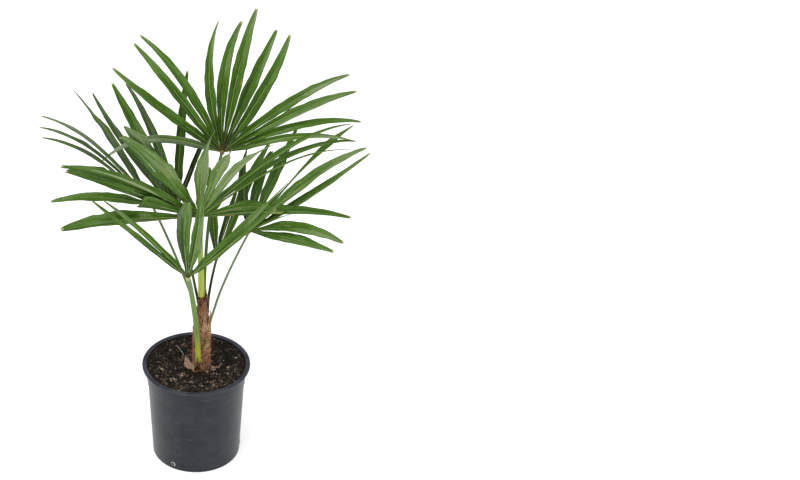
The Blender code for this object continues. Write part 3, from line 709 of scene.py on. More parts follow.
class PALM_OT_make_pot(bpy.types.Operator):
    """Makes the turned nursery pot with its drain holes"""

    bl_idname = "palm.make_pot"
    bl_label = "Make Pot"
    bl_options = {"REGISTER", "UNDO"}

    def execute(self, context):
        settings = context.scene.palm_pot
        radii, heights = pot_profile()
        points, places = turned_grid(radii, heights, settings.sides)
        outward = unit(points * (1, 1, 0) + (0, 0, 1e-9))
        wander = settings.unevenness / MM * noise(points, 40, 1) * smooth_step(heights / 20)[:, None]
        shape = Shape()
        on_rim = (heights[:-1] + heights[1:]) / 2 > POT_HEIGHT - RIM_THICKNESS + 0.4
        finish = on_rim[:, None] + np.zeros((1, settings.sides), int)
        shape.add_grid(points + outward * wander[..., None] * (radii > 1)[:, None, None], places, finish)
        # The rim's faces take far more of the pale colour than the wall: painted reflection on the flange,
        # over the same scuffs and dust
        skins = [pot_plastic("moulded polypropylene", settings, 0.0, 0.16),
                 pot_plastic("polypropylene rim with painted reflection", settings, 0.12, 0.7)]
        pot = shape.piece("nursery_pot", "pot_plastic", skins, ["pot"])
        cut_drains(pot)
        pot.data.set_sharp_from_angle(angle=radians(50))
        self.make_flash(settings)
        return {"FINISHED"}

    def make_flash(self, settings):
        """A ragged lip round each drain hole: a ring whose round section grows and shrinks with a noise."""
        turn, section = np.meshgrid(np.linspace(0, 2 * np.pi, 33), np.linspace(0, 2 * np.pi, 9))
        shape = Shape()
        slope = (STEP_RADIUS - FOOT_RADIUS) / STEP_HEIGHT
        for number, angle in enumerate(drain_angles()):
            outward = round_axis(1, angle, slope)
            across = np.array((-sin(angle), cos(angle), 0))
            upward = round_axis(slope, angle, 1)
            circle = round_axis(1, turn, 0)
            thick = 1.0 + 0.45 * noise(circle, 0.9, 31 + number) + 0.35 * np.cos(turn - radians(40))
            ring = DRAIN_RADIUS + 0.7 + thick * np.cos(section)
            wall = FOOT_RADIUS + slope * DRAIN_HEIGHT
            points = (round_axis(wall, angle, DRAIN_HEIGHT)
                      + (ring * np.cos(turn))[..., None] * across
                      + (ring * np.sin(turn))[..., None] * upward
                      + (0.7 * thick * np.sin(section))[..., None] * outward)
            shape.add_grid(points[::-1], points[..., :2])
        # Polypropylene that tore and whitened as the holes were punched: pale and dull, cloudy at 1.5 mm
        plastic = patterned("torn polypropylene flash", (shaded(settings.flash, 0.7), settings.flash),
                            1.5, 0.05, (0.4, 0.6))
        shape.piece("drain_flash", "pot_plastic", [plastic])


def soil_height(x, y):
    """Height of the soil's surface: heaped round the trunk's foot, level round that, then a straight rise
    to the bank at the wall, with lumps of four sizes that calm down at the wall."""
    radius, angle = np.hypot(x, y), np.arctan2(y, x)
    rise = SOIL_BANK + SOIL_BANK_TILT * np.cos(angle - radians(SOIL_BANK_ANGLE))
    share = np.clip((radius - SOIL_LEVEL_RADIUS) / (SOIL_BANK_RADIUS - SOIL_LEVEL_RADIUS), 0, 1)
    flat = np.stack((x, y, 0 * x), -1)
    from_trunk = np.hypot(x - TRUNK_BASE[0], y - TRUNK_BASE[1])
    rise = rise * share + SOIL_HEAP * smooth_step((SOIL_HEAP_RADIUS - from_trunk) / SOIL_HEAP_SLOPE)
    lumps = 1.8 * noise(flat, 13, 2) + 2.4 * noise(flat, 6, 3) + 2.0 * np.abs(noise(flat, 2.8, 4))
    calm = smooth_step((SOIL_CALM_RADIUS - radius) / SOIL_CALM_WIDTH)
    return SOIL_LEVEL + rise + (lumps + 0.5 * noise(flat, 1.2, 5)) * calm


def soil_edge_radius(height):
    """Inside of the pot's wall at a height above the step, less the gap."""
    slope = (MOUTH_RADIUS - STEP_RADIUS) / (POT_HEIGHT - STEP_HEIGHT)
    return STEP_RADIUS - WALL - GAP + slope * (height - STEP_HEIGHT)


def lump():
    """A rough ball of 20 faces: the twelve corners of an icosahedron, each at (0, 1, 1.618) in one of three
    orders and with either sign. Three corners that lie two apart make a face."""
    golden = (1 + 5 ** 0.5) / 2
    near = [(0, a, b * golden) for a in (-1, 1) for b in (-1, 1)]
    points = np.array(near + [(b, c, a) for a, b, c in near] + [(c, a, b) for a, b, c in near], float)
    apart = np.linalg.norm(points[:, None] - points[None], axis=-1)
    close = np.abs(apart - 2) < 1e-6
    a, b, c = np.nonzero(close[:, :, None] & close[None] & close[:, None])
    keep = (a < b) & (b < c)
    faces = np.stack((a, b, c), -1)[keep]
    middle = points[faces].mean(1)
    turned = np.cross(points[faces[:, 1]] - points[faces[:, 0]], points[faces[:, 2]] - points[faces[:, 0]])
    inward = (turned * middle).sum(-1) < 0
    faces[inward] = faces[inward][:, ::-1]
    return points / np.linalg.norm(points[0]), faces


def random_frames(random, count, low, high):
    """Random turns, each with random lengths of its three axes."""
    turns = np.linalg.qr(random.normal(size=(count, 3, 3)))[0]
    turns[:, 0] *= np.sign(np.linalg.det(turns))[:, None]
    return turns * random.uniform(low, high, (count, 3))[..., None]


def add_strands(shape, path, radius, finish):
    """Adds many thin tubes of three sides at once: paths (n, stations, 3) with one radius for each station
    (n, stations), closed by a face at each end."""
    sides = 3
    stations = path.shape[1]
    tangent = unit(np.gradient(path, axis=1))
    side = unit(np.cross(tangent, (0.31, -0.22, 0.93)))
    other = np.cross(tangent, side)
    turn = np.arange(sides) * 2 * np.pi / sides
    ring = np.cos(turn)[:, None] * side[:, :, None] + np.sin(turn)[:, None] * other[:, :, None]
    points = path[:, :, None] + radius[..., None, None] * ring
    k, j = np.meshgrid(np.arange(stations - 1), np.arange(sides), indexing="ij")
    a, b = (k * sides + j).ravel(), (k * sides + (j + 1) % sides).ravel()
    last = (stations - 1) * sides
    walls = np.stack((a, b, b + sides, a + sides), -1)
    ends = np.array(((2, 1, 0), (last, last + 1, last + 2)))
    shape.add_copies(points.reshape(len(path), -1, 3), (walls, ends), finish)


class PALM_OT_make_soil(bpy.types.Operator):
    """Makes the potting soil with its crumbs, chips, moss and fibres"""

    bl_idname = "palm.make_soil"
    bl_label = "Make Soil"
    bl_options = {"REGISTER", "UNDO"}

    def execute(self, context):
        settings = context.scene.palm_soil
        self.make_plug(settings)
        self.make_litter(settings)
        return {"FINISHED"}

    def make_plug(self, settings):
        """The plug of peat: up the inside of the wall, then in over the uneven top."""
        sides, rings = 400, 150
        angles = np.linspace(0, 2 * np.pi, sides + 1)
        play = WALL + GAP
        under = FLOOR + GAP
        lower = np.array(((0, under), (FOOT_RADIUS - play, under), (STEP_RADIUS - play, STEP_HEIGHT)))
        top = np.linspace(soil_edge_radius(SOIL_LEVEL + SOIL_BANK), 0, rings)
        radii = np.concatenate((lower[:, 0], top))[:, None] * np.ones(sides + 1)
        heights = np.concatenate((lower[:, 1], 0 * top))[:, None] * np.ones(sides + 1)
        x, y = radii[len(lower):] * np.cos(angles), radii[len(lower):] * np.sin(angles)
        heights[len(lower):] = soil_height(x, y)
        points, _ = turned_grid(radii, heights, sides)
        shape = Shape()
        shape.add_grid(points, points[..., :2])
        # Sieved peat, still moist: nearly black and dead matt, mottled at 2.2 mm, the size of its crumbs
        colours = shaded(settings.peat, 0.35), shaded(settings.peat_pale, 0.28)
        peat = patterned("moist peat", colours, 2.2, 0.8, (0.85, 1.0), detail=6.0, sharp=0.14,
                         Specular_IOR_Level=0.15)
        shape.piece("potting_soil", "peat", [peat], ["soil"])

    def make_litter(self, settings):
        """Crumbs of every kind all over the soil, and clusters of three at the places that show in the
        photo."""
        random = np.random.default_rng(settings.seed)
        # Peat, composted bark and moss that dried on top: matt crumbs, mottled at 1.5 mm, the moss at 1 mm
        finishes = [
            patterned(name, (shaded(colour, dark), pale), cell, bump, rough)
            for name, colour, dark, pale, cell, bump, rough in (
                ("dark peat crumb", settings.peat, 0.7, shaded(settings.peat, 1.6), 1.5, 0.3, (0.85, 1.0)),
                ("dry peat crumb", settings.peat, 1.0, settings.peat_pale, 1.5, 0.3, (0.85, 1.0)),
                ("bark chip", settings.bark, 0.6, settings.bark, 1.5, 0.2, (0.7, 0.9)),
                ("tan crumb", settings.tan, 0.6, settings.tan, 1.5, 0.2, (0.8, 1.0)),
                ("moss", settings.moss, 0.5, settings.moss, 1.0, 0.3, (0.9, 1.0)),
            )
        ]
        shape = Shape()
        ball = lump()
        count = settings.crumbs
        radius = CRUMB_SPREAD * np.sqrt(random.uniform(0.05, 0.985, count))
        angle = random.uniform(0, 2 * np.pi, count)
        kind = random.choice(4, count, p=(0.4, 0.34, 0.18, 0.08))
        flat = round_axis(radius, angle, 0)
        kind = np.where(noise(flat, 7, 61) < -0.1, 0, kind)
        frames = random_frames(random, count, 0.3, 1.8)
        frames = frames * random.choice((0.8, 1, 1, 2.1), count)[:, None, None]
        self.scatter(shape, ball, flat[:, 0], flat[:, 1], frames, kind)
        for places, size, finish in ((TAN_CRUMBS, 3.0, 3), (MOSS_BITS, 2.0, 4)):
            places = np.array(places, float)
            for spread, most in ((0, 1), (2.5, 0.7), (3.5, 0.7)):
                x, y = (places + spread * random.normal(size=places.shape)).T
                frames = random_frames(random, len(places), 0.5 * size, most * size)
                self.scatter(shape, ball, x, y, frames, np.full(len(places), finish))
        shape.piece("soil_crumbs", "peat", finishes, merge=False)
        self.make_fibres(settings, random, finishes)

    def scatter(self, shape, ball, x, y, frames, finish):
        """Sets copies of a rough ball on the soil, each in its own frame, but none at the wall."""
        centres = np.stack((x, y, soil_height(x, y) + CRUMB_LIFT), -1)
        inside = np.hypot(x, y) < CRUMB_RADIUS
        points, faces = ball
        shape.add_copies(points @ frames[inside] + centres[inside, None], (faces,), finish[inside])

    def make_fibres(self, settings, random, finishes):
        """Short bent threads that lie on the soil, and one long pale one."""
        count = settings.fibres
        radius = FIBRE_SPREAD * np.sqrt(random.uniform(0.08, 1, count))
        angle, bearing = random.uniform(0, 2 * np.pi, (2, count))
        length = random.uniform(2.5, 9, count)
        bow = random.uniform(-2, 2, count)
        part = np.linspace(-0.5, 0.5, 6)
        x = (radius * np.cos(angle))[:, None] + length[:, None] * part * np.cos(bearing)[:, None]
        y = (radius * np.sin(angle))[:, None] + length[:, None] * part * np.sin(bearing)[:, None]
        hump = (1 - (2 * part) ** 2) * bow[:, None]
        x, y = x - hump * np.sin(bearing)[:, None], y + hump * np.cos(bearing)[:, None]
        path = np.stack((x, y, soil_height(x, y) + FIBRE_LIFT), -1)
        reach = FIBRE_RADIUS / np.maximum(np.hypot(x, y), FIBRE_RADIUS)
        path[..., :2] *= reach[..., None]
        thick = random.uniform(0.2, 0.42, count)[:, None] * np.array((0.5, 1, 1, 1, 0.9, 0.4))
        shape = Shape()
        add_strands(shape, path, thick, random.choice((1, 2, 2, 3), count))
        t = np.linspace(0, 1, 6)[:, None]
        start, end, bend = (np.array(p) for p in ROOT_LINE)
        thread = start * (1 - t) + end * t
        thread += bend * np.sin(np.pi * t)
        add_strands(shape, thread[None], np.full((1, 6), 0.5), np.array([len(finishes)]))
        # A fine root dried in the air: pale grey, smooth and dull
        root = patterned("pale dry root", [linear(code) for code in ROOT_COLOURS], 1.0, 0.05, (0.6, 0.8))
        shape.piece("soil_fibres", "peat", finishes + [root])


def trunk_centre(height):
    """The trunk's axis at a height: a straight lean from the soil to the tip."""
    low, high = TRUNK_RADII[0][0], TRUNK_RADII[-1][0]
    part = (np.asarray(height, float) - low) / (high - low)
    x = TRUNK_BASE[0] + part * (TRUNK_TOP[0] - TRUNK_BASE[0])
    y = TRUNK_BASE[1] + part * (TRUNK_TOP[1] - TRUNK_BASE[1])
    return np.stack(np.broadcast_arrays(x, y, height), -1)


def trunk_radius(height):
    """The trunk's radius at a height, on straight lines between the given ones."""
    heights, radii = zip(*TRUNK_RADII)
    return np.interp(height, heights, radii)


def on_trunk(angle, height, lift):
    """A point above the trunk's skin, from its bearing in radians, its height and how far it stands off."""
    return trunk_centre(height) + round_axis(trunk_radius(height) + lift, angle, 0)


def fibre_skin(name, dark, mid, pale):
    """Dry leaf-base fibre, matted by weather: brown mottling under two sets of slanting pale strands that
    cross. The mottling's dark end lies where the relief is lowest, so it is partly the fibre's own darker
    brown and partly painted shade in the hollows between the strands. The strands are drawn about 1.2 mm wide,
    wider than the real ones so that they show."""
    material, tree, shader = new_material(name, Roughness=0.95, Specular_IOR_Level=0.15)
    own_map = node(tree, "UVMap", uv_map=SURFACE_MAP).outputs[0]
    mottle_map = node(tree, "Mapping", {"Vector": own_map, "Scale": (0.003, 0.007, 1)},
                      vector_type="TEXTURE")
    mottle = node(tree, "TexNoise", {"Vector": mottle_map.outputs[0], "Scale": 1.0, "Detail": 4.0})
    share = node(tree, "MapRange", {"Value": mottle.outputs[0], "From Min": 0.36, "From Max": 0.6})
    # The dark colour lies where the mottle, and so the relief, is lowest: the fibre's own darker brown and
    # painted shade in the hollows
    colour = node(tree, "Mix", {0: share.outputs[0], 6: (*dark, 1), 7: (*mid, 1)},
                  data_type="RGBA").outputs[2]
    height = mottle.outputs[0]
    for slant in (-28, 24):
        turned = node(tree, "Mapping", {"Vector": own_map, "Rotation": (0, 0, radians(slant)),
                                        "Scale": (0.0012, 0.012, 1)}, vector_type="TEXTURE")
        strand_noise = node(tree, "TexNoise", {"Vector": turned.outputs[0], "Scale": 1.0, "Detail": 1.0})
        strand_share = node(tree, "MapRange", {"Value": strand_noise.outputs[0], "From Min": 0.54,
                                               "From Max": 0.64, "To Max": 0.85})
        colour = node(tree, "Mix", {0: strand_share.outputs[0], 6: colour, 7: (*pale, 1)},
                      data_type="RGBA").outputs[2]
        height = node(tree, "Math", {0: height, 1: strand_share.outputs[0]}).outputs[0]
    relief = node(tree, "Bump", {"Height": height, "Strength": 1.0, "Distance": 0.5 * MM})
    feed(tree, shader, {"Base Color": colour, "Normal": relief.outputs[0]})
    return material


def fibre_relief(angle, height):
    """Relief of matted fibre: two families of slanting cords that cross, long upright streaks and soft
    lumps."""
    arc = ARC_RADIUS * angle
    where = round_axis(ARC_RADIUS, angle, height)
    cords = np.sin((arc + 0.45 * height) * 2.9) * np.sin((arc - 0.6 * height) * 2.4)
    return 0.3 * cords + 0.6 * noise(where, (1.8, 1.8, 13), 21) + 0.9 * noise(where, (6, 6, 9), 22)


# Sheaths round the trunk: bearing of the middle, foot height, top height, half width as an angle, how far
# they stand off at foot and top, and finish: 0 fibre, 1 pale, 2 dark and torn, 4 living green
Sheath = namedtuple("Sheath", "bearing low high half foot top finish")
SHEATHS = (
    Sheath(238, 206, 250, 52, 0.3, 1.8, 0),
    Sheath(256, 171, 207, 30, 0.4, 12.5, 0),
    Sheath(312, 200, 251, 62, 0.3, 3.0, 0),
    Sheath(300, 228, 247, 18, 3.0, 3.6, 4),
    Sheath(345, 236, 296, 56, 0.4, 2.4, 1),
    Sheath(205, 232, 292, 60, 0.4, 2.0, 0),
    Sheath(272, 250, 312, 50, 0.5, 1.7, 0),
    Sheath(292, 262, 300, 26, 2.2, 3.4, 1),
    Sheath(60, 236, 308, 70, 0.5, 1.3, 0),
    Sheath(130, 252, 314, 64, 0.6, 1.4, 1),
    Sheath(10, 262, 308, 40, 0.5, 1.4, 1),
    Sheath(190, 280, 330, 50, 0.6, 1.3, 0),
    Sheath(322, 310, 341, 42, 0.6, 1.9, 2),
    Sheath(222, 310, 340, 42, 0.6, 2.0, 2),
    Sheath(300, 282, 326, 50, 0.6, 1.3, 0),
    Sheath(90, 290, 336, 80, 0.5, 1.0, 2),
    Sheath(300, 171, 183, 24, 0.4, 3.0, 0),
    Sheath(80, 171, 186, 60, 0.4, 3.0, 0),
)

# Papery scraps of old leaf bases, four on the soil and one on the trunk: their corners, round from the
# lower left
FLAKES = (
    ((-21, 10, 171), (-4, -12, 172), (-3, -10, 184), (-19, 13, 190)),
    ((-17, 20, 172), (-10, 4, 171), (-9, 6, 180), (-15, 22, 184)),
    ((26, -8, 173), (35, -4, 173), (36, -4, 181), (27, -8, 182)),
    ((36, -2, 174), (41, 2, 175), (43, 2, 184), (40, -1, 182)),
    ((18, -6, 268), (23, 1, 266), (26, 3, 301), (24, -3, 296)),
)


def add_flake(shape, corners, finish, seed):
    """A crumpled scrap: an even patch between four corners, with a ragged outline, bulged and creased by
    noise."""
    across, up = np.meshgrid(np.linspace(0, 1, 17), np.linspace(0, 1, 13))
    across = across + 0.1 * along_noise(up, 0.25, seed) * (2 * across - 1)
    up = up * (1 + 0.22 * along_noise(across, 0.2, seed + 1))
    a, b, c, d = np.array(corners, float)[:, None, None]
    across, up = across[..., None], up[..., None]
    points = (1 - up) * ((1 - across) * a + across * b) + up * ((1 - across) * d + across * c)
    outward = unit(np.cross(b - a, d - a))
    crumpled = 1.3 * noise(points, 4, seed + 2) + 0.5 * noise(points, 1.6, seed + 3)
    bulge = 1.2 * np.sin(np.pi * across) + crumpled[..., None]
    shape.add_grid(points + bulge * outward, points[..., (0, 2)], finish)


def add_sheath(shape, sheath, seed):
    """A torn sheath: a patch of the trunk's skin that narrows upwards, stands off more and more, and has a
    ragged top edge and wavy sides from noise."""
    across, up = np.meshgrid(np.linspace(-1, 1, 33), np.linspace(0, 1, 19))
    ragged = (1 - 0.45 * across ** 2 + 0.22 * along_noise(across, 0.22, seed)
              + 0.12 * along_noise(across, 0.09, seed + 50))
    height = sheath.low + (sheath.high - sheath.low) * up * ragged
    narrow = 1 - 0.6 * up ** 1.3 + 0.06 * along_noise(up, 0.2, seed + 90)
    angle = radians(sheath.bearing) + across * radians(sheath.half) * narrow
    lift = sheath.foot + (sheath.top - sheath.foot) * up ** 1.5
    lift = lift + 0.45 * fibre_relief(angle, height) + 0.6 * up * along_noise(across, 0.35, seed + 70)
    points = on_trunk(angle, height, lift)
    places = np.stack((ARC_RADIUS * angle, height), -1)
    shape.add_grid(points, places, sheath.finish)


class PALM_OT_make_trunk(bpy.types.Operator):
    """Makes the fibrous trunk with its torn sheaths and loose hairs"""

    bl_idname = "palm.make_trunk"
    bl_label = "Make Trunk"
    bl_options = {"REGISTER", "UNDO"}

    def execute(self, context):
        settings = context.scene.palm_trunk
        random = np.random.default_rng(settings.seed)
        fibre = fibre_skin("matted leaf-base fibre", shaded(settings.fibre, 0.3), settings.fibre,
                           settings.fibre_pale)
        self.make_bark(fibre)
        self.make_sheaths(settings, fibre)
        self.make_hairs(settings, random)
        return {"FINISHED"}

    def make_bark(self, fibre):
        """The trunk's skin: its radius at each height, less 0.3 mm, plus the relief of matted fibre, closed by
        a point at the foot and at the tip."""
        low, high = TRUNK_RADII[0][0] - 2, TRUNK_RADII[-1][0]
        height = np.concatenate(([low], np.linspace(low, high, 110), [high + 0.5]))[:, None]
        angle = np.linspace(0, 2 * np.pi, 97)[None]
        height, angle = np.broadcast_arrays(height, angle)
        points = on_trunk(angle, height, fibre_relief(angle, height) - 0.3)
        points[0], points[-1] = trunk_centre(low), trunk_centre(high + 0.5)
        shape = Shape()
        shape.add_grid(points, np.stack((ARC_RADIUS * angle, height), -1))
        shape.piece("trunk_bark", "trunk_fibre", [fibre], ["trunk"])

    def make_sheaths(self, settings, fibre):
        """The torn sheaths and the papery scraps, as one piece of thin sheets."""
        shape = Shape()
        for number, sheath in enumerate(SHEATHS):
            add_sheath(shape, sheath, 100 + number)
        for number, corners in enumerate(FLAKES):
            add_flake(shape, corners, 3, 300 + number)
        # Leaf sheaths woven of fibre: brown and matted, worn pale, torn and dark, papery with streaks 6 mm
        # long, and still green where the fibre is thin
        finishes = [
            fibre,
            fibre_skin("pale sheath", shaded(settings.fibre, 0.5), shaded(settings.fibre_pale, 0.75),
                       shaded(settings.fibre_pale, 1.2)),
            fibre_skin("dark torn sheath", shaded(settings.scar, 0.6), settings.scar, settings.fibre),
            patterned("papery sheath", (shaded(settings.papery, 0.75), shaded(settings.papery, 1.15)),
                      (1.2, 6, 1), 0.15, (0.7, 0.9), on_map=True),
            fibre_skin("living green sheath", shaded(settings.green, 0.35), settings.green,
                       settings.fibre_pale),
        ]
        solidify(shape.piece("trunk_sheaths", "trunk_fibre", finishes, merge=False), 0.45)

    def make_hairs(self, settings, random):
        """Hairs that leave the trunk outwards and upwards, bend down and taper."""
        count = settings.hairs
        angle = random.uniform(0, 2 * np.pi, count)
        height = random.uniform(*HAIR_HEIGHTS, count)
        foot = on_trunk(angle, height, np.full(count, 0.2))
        outward = round_axis(1, angle, 0)
        start = unit(0.7 * outward + np.array((0, 0, 0.8)) + 0.5 * random.normal(size=(count, 3)))
        length = random.uniform(*HAIR_LENGTHS, count) * (1 + (height > HAIR_TOP))
        part = np.linspace(0, 1, 4)[None, :, None]
        sag = np.array((0, 0, -0.35)) + 0.3 * random.normal(size=(count, 1, 3))
        path = foot[:, None] + length[:, None, None] * (part * start[:, None] + part ** 2 * sag)
        thick = random.uniform(0.14, 0.3, count)[:, None] * np.array((1, 0.85, 0.6, 0.2))
        shape = Shape()
        add_strands(shape, path, thick, random.choice(2, count))
        # Stiff dry fibre that has worked loose: matt hairs, brown or bleached
        hairs = [patterned(name, (shaded(colour, dark), shaded(colour, pale)), 1, 0.02, (0.7, 0.9))
                 for name, colour, dark, pale in (("brown fibre hair", settings.fibre, 0.6, 1),
                                                  ("pale fibre hair", settings.fibre_pale, 1, 1.3))]
        shape.piece("trunk_hairs", "trunk_fibre", hairs, merge=False)


def fan_axes(fan):
    """The fan's axis, its sideways direction in the blade's plane, and the normal of its upper face."""
    bearing, pitch = radians(fan.bearing), radians(fan.pitch)
    axis = np.array((cos(pitch) * cos(bearing), cos(pitch) * sin(bearing), sin(pitch)))
    side = np.array((sin(bearing), -cos(bearing), 0.0))
    return axis, side, np.cross(side, axis)


def stalk_foot(fan):
    """Where a stalk starts: against the trunk's side, or on its top when it has no bearing."""
    if fan.foot is None:
        return trunk_centre(TRUNK_RADII[-1][0]) + (-2.0, -1.5, 0.9)
    bearing, height = fan.foot
    return on_trunk(radians(bearing), height, fan.stalk[0] + 0.5)


def stalk_line(fan, t):
    """The stalk's cubic curve from its foot by way of the two steering points to the hub."""
    t = t[:, None]
    a, b, hub = (np.array(p, float) for p in (*fan.steer, fan.hub))
    foot = stalk_foot(fan)
    return (1 - t) ** 3 * foot + 3 * (1 - t) ** 2 * t * a + 3 * (1 - t) * t * t * b + t ** 3 * hub


def stalk_skin(name, colours, length):
    """Living leaf stalk: a smooth waxy rind with fine ribs along it, whose colour runs from foot to tip.
    The map's second place is the length from the foot."""
    material, tree, shader = new_material(f"leaf stalk rind {name}", Roughness=0.48, Specular_IOR_Level=0.3)
    own_map = node(tree, "UVMap", uv_map=SURFACE_MAP).outputs[0]
    parts = node(tree, "SeparateXYZ", {0: own_map})
    streak = node(tree, "Mapping", {"Vector": own_map, "Scale": (1 / 0.0011, 1 / 0.03, 1)})
    grain = node(tree, "TexNoise", {"Vector": streak.outputs[0], "Scale": 1.0, "Detail": 3.0})
    runs = ((0.1, 0.36), (0.5, 1.0))
    colour = (*linear(colours[0]), 1)
    for (low, high), target in zip(runs, colours[1:]):
        share = node(tree, "MapRange", {"Value": parts.outputs[1], "From Min": low * length * MM,
                                        "From Max": high * length * MM}, interpolation_type="SMOOTHSTEP")
        colour = node(tree, "Mix", {0: share.outputs[0], 6: colour, 7: (*linear(target), 1)},
                      data_type="RGBA").outputs[2]
    shade = node(tree, "MapRange", {"Value": grain.outputs[0], "From Min": 0.3, "From Max": 0.7,
                                    "To Min": 0.8, "To Max": 1.2})
    tinted = node(tree, "VectorMath", {0: colour, "Scale": shade.outputs[0]}, operation="SCALE")
    relief = node(tree, "Bump", {"Height": grain.outputs[0], "Strength": 1.0, "Distance": 0.08 * MM})
    feed(tree, shader, {"Base Color": tinted.outputs[0], "Normal": relief.outputs[0]})
    return material


class PALM_OT_make_stalks(bpy.types.Operator):
    """Makes the leaf stalks with their widened foot and the swelling at the hub"""

    bl_idname = "palm.make_stalks"
    bl_label = "Make Leaf Stalks"
    bl_options = {"REGISTER", "UNDO"}

    def execute(self, context):
        leaf = context.scene.palm_leaf
        for name, fan in FANS.items():
            self.make_stalk(name, fan, leaf)
        return {"FINISHED"}

    def make_stalk(self, name, fan, leaf):
        """A half-round bar with a shallow channel on its upper side, carried along the stalk's curve. Its
        radius runs evenly from foot to tip, opens into the sheath at the foot and swells to a knuckle round
        the hub. From there a tongue runs on under the blades and thins to nothing."""
        t = np.concatenate((np.linspace(0, 0.97, 60), np.linspace(0.975, 1, 8)))
        path = stalk_line(fan, t)
        if fan.foot:
            bearing, height = fan.foot
            pressed = (1 - smooth_step((path[:, 2:] - height) / PRESS_LENGTH)) * fan.press
            path = path - pressed * round_axis(1, radians(bearing), 0)
            below = np.linspace(1, 0.12, 8)
            lift = fan.stalk[0] + 0.5 - fan.press - 2 * fan.stalk[0] * below ** 2
            path = np.concatenate((on_trunk(radians(bearing), height - fan.drop * below, lift), path))
        tangent = unit(np.gradient(path, axis=0))
        hub = len(path) - 1
        axis, _, upper = fan_axes(fan)
        ahead = fan.knuckle * np.array((0.15, 0.3, 0.45, 0.6, 0.75, 1.0, 1.4, 1.9, 2.5, 3.2))[:, None]
        path = np.concatenate((path, path[-1] + ahead * axis - 0.06 * ahead * upper))
        tangent = np.concatenate((tangent, np.repeat(axis[None], len(ahead), 0)))
        run = np.concatenate(([0], np.cumsum(np.linalg.norm(np.diff(path, axis=0), axis=1))))
        to_hub = run - run[hub]
        radius = np.interp(run, (0, run[hub]), fan.stalk)
        bulb = np.sqrt(np.clip(1 - (to_hub / fan.knuckle) ** 2, 0, 1)) * fan.knuckle * BULB
        tongue = np.where(to_hub > 0, TONGUE * fan.knuckle * (1 - to_hub / (TONGUE_REACH * fan.knuckle)), 0)
        knuckle = np.maximum(np.where(to_hub > 0.7 * fan.knuckle, 0, bulb), tongue)
        flare = 1 + (0.35 if fan.drop > 10 else 0.08) * np.exp(-run / FLARE_LENGTH)
        radius = np.where(to_hub > 0, knuckle, np.maximum(radius * flare, knuckle))
        radius[0] = radius[-1] = 0
        side = unit(np.cross(tangent, upper))
        top = np.cross(side, tangent)
        turn = np.linspace(0, 2 * np.pi, 25)
        across = np.cos(turn)
        rise = np.where(np.sin(turn) > 0, 0.62 * np.sin(turn) - 0.12 * np.sin(turn) ** 4, np.sin(turn))
        wave = 1 + 0.03 * np.cos(7 * turn)
        ring = (across * wave)[:, None] * side[:, None] + (rise * wave)[:, None] * top[:, None]
        points = path[:, None] + radius[:, None, None] * ring
        places = np.stack(np.broadcast_arrays(turn * fan.stalk[1], run[:, None]), -1)
        part = to_hub[:-1] / fan.knuckle
        finish = np.select((part > 0.45, part > -0.6), (2, 1), 0)[:, None] + np.zeros((1, len(turn) - 1), int)
        shape = Shape()
        shape.add_grid(points[:, ::-1], places[:, ::-1], finish)
        # The rind at the hub, corky where the blade joins it: dull, and mottled at 1 mm
        tint = linear(COLLAR_COLOURS.get(name, PLAIN_COLLAR))
        collar = patterned("hub collar", (shaded(tint, 0.7), shaded(tint, 1.1)), 1, 0.1, (0.5, 0.7))
        # The tongue under the blades is the leaf green darkened to 0.55: painted shade under the blades, at
        # the fan's joined base
        tongue_skin = leaf_skin("blade base", shaded(leaf.mid, 0.55))
        skins = [stalk_skin(name, STALK_COLOURS[name], run[-1]), collar, tongue_skin]
        shape.piece(f"{name}_leaf_stalk", "leaf_stalk", skins, [f"{name}_stalk"])


def leaf_line(fan, leaf, distance):
    """Midrib points of a leaflet at distances from the hub: straight out, plus curves that vanish at both
    ends.

    The curve is 2.598 (x - x ^ 3) at a part x of the length, which reaches 1 at 0.58 of it.
    """
    axis, side, normal = fan_axes(fan)
    angle = radians(leaf.angle)
    out = cos(angle) * axis + sin(angle) * side
    across = cos(angle) * side - sin(angle) * axis
    part = np.clip(distance / leaf.length, 0, 1)[:, None]
    hump = 2.598 * part * (1 - part * part)
    kink = leaf.kink * np.minimum(part / 0.65, (1 - part) / 0.35)
    upward = np.array((0, 0, 1))
    shift = leaf.rise * upward + leaf.bow * across + fan.recurve * leaf.length * normal
    over = (leaf.over or 0) * smooth_step(part * leaf.length / 40) * normal
    return np.array(fan.hub, float) + leaf.length * part * out + hump * shift + kink * upward + over


def own_half_width(leaf, distance):
    """Half the leaflet's width: it opens slowly from the hub, keeps its full width and narrows to its tip."""
    parts, widths = zip(*TIPS[leaf.tip])
    full = 0.5 * leaf.width * np.interp(distance / leaf.length, parts, widths)
    return np.minimum(full, 0.8 + 0.14 * distance)


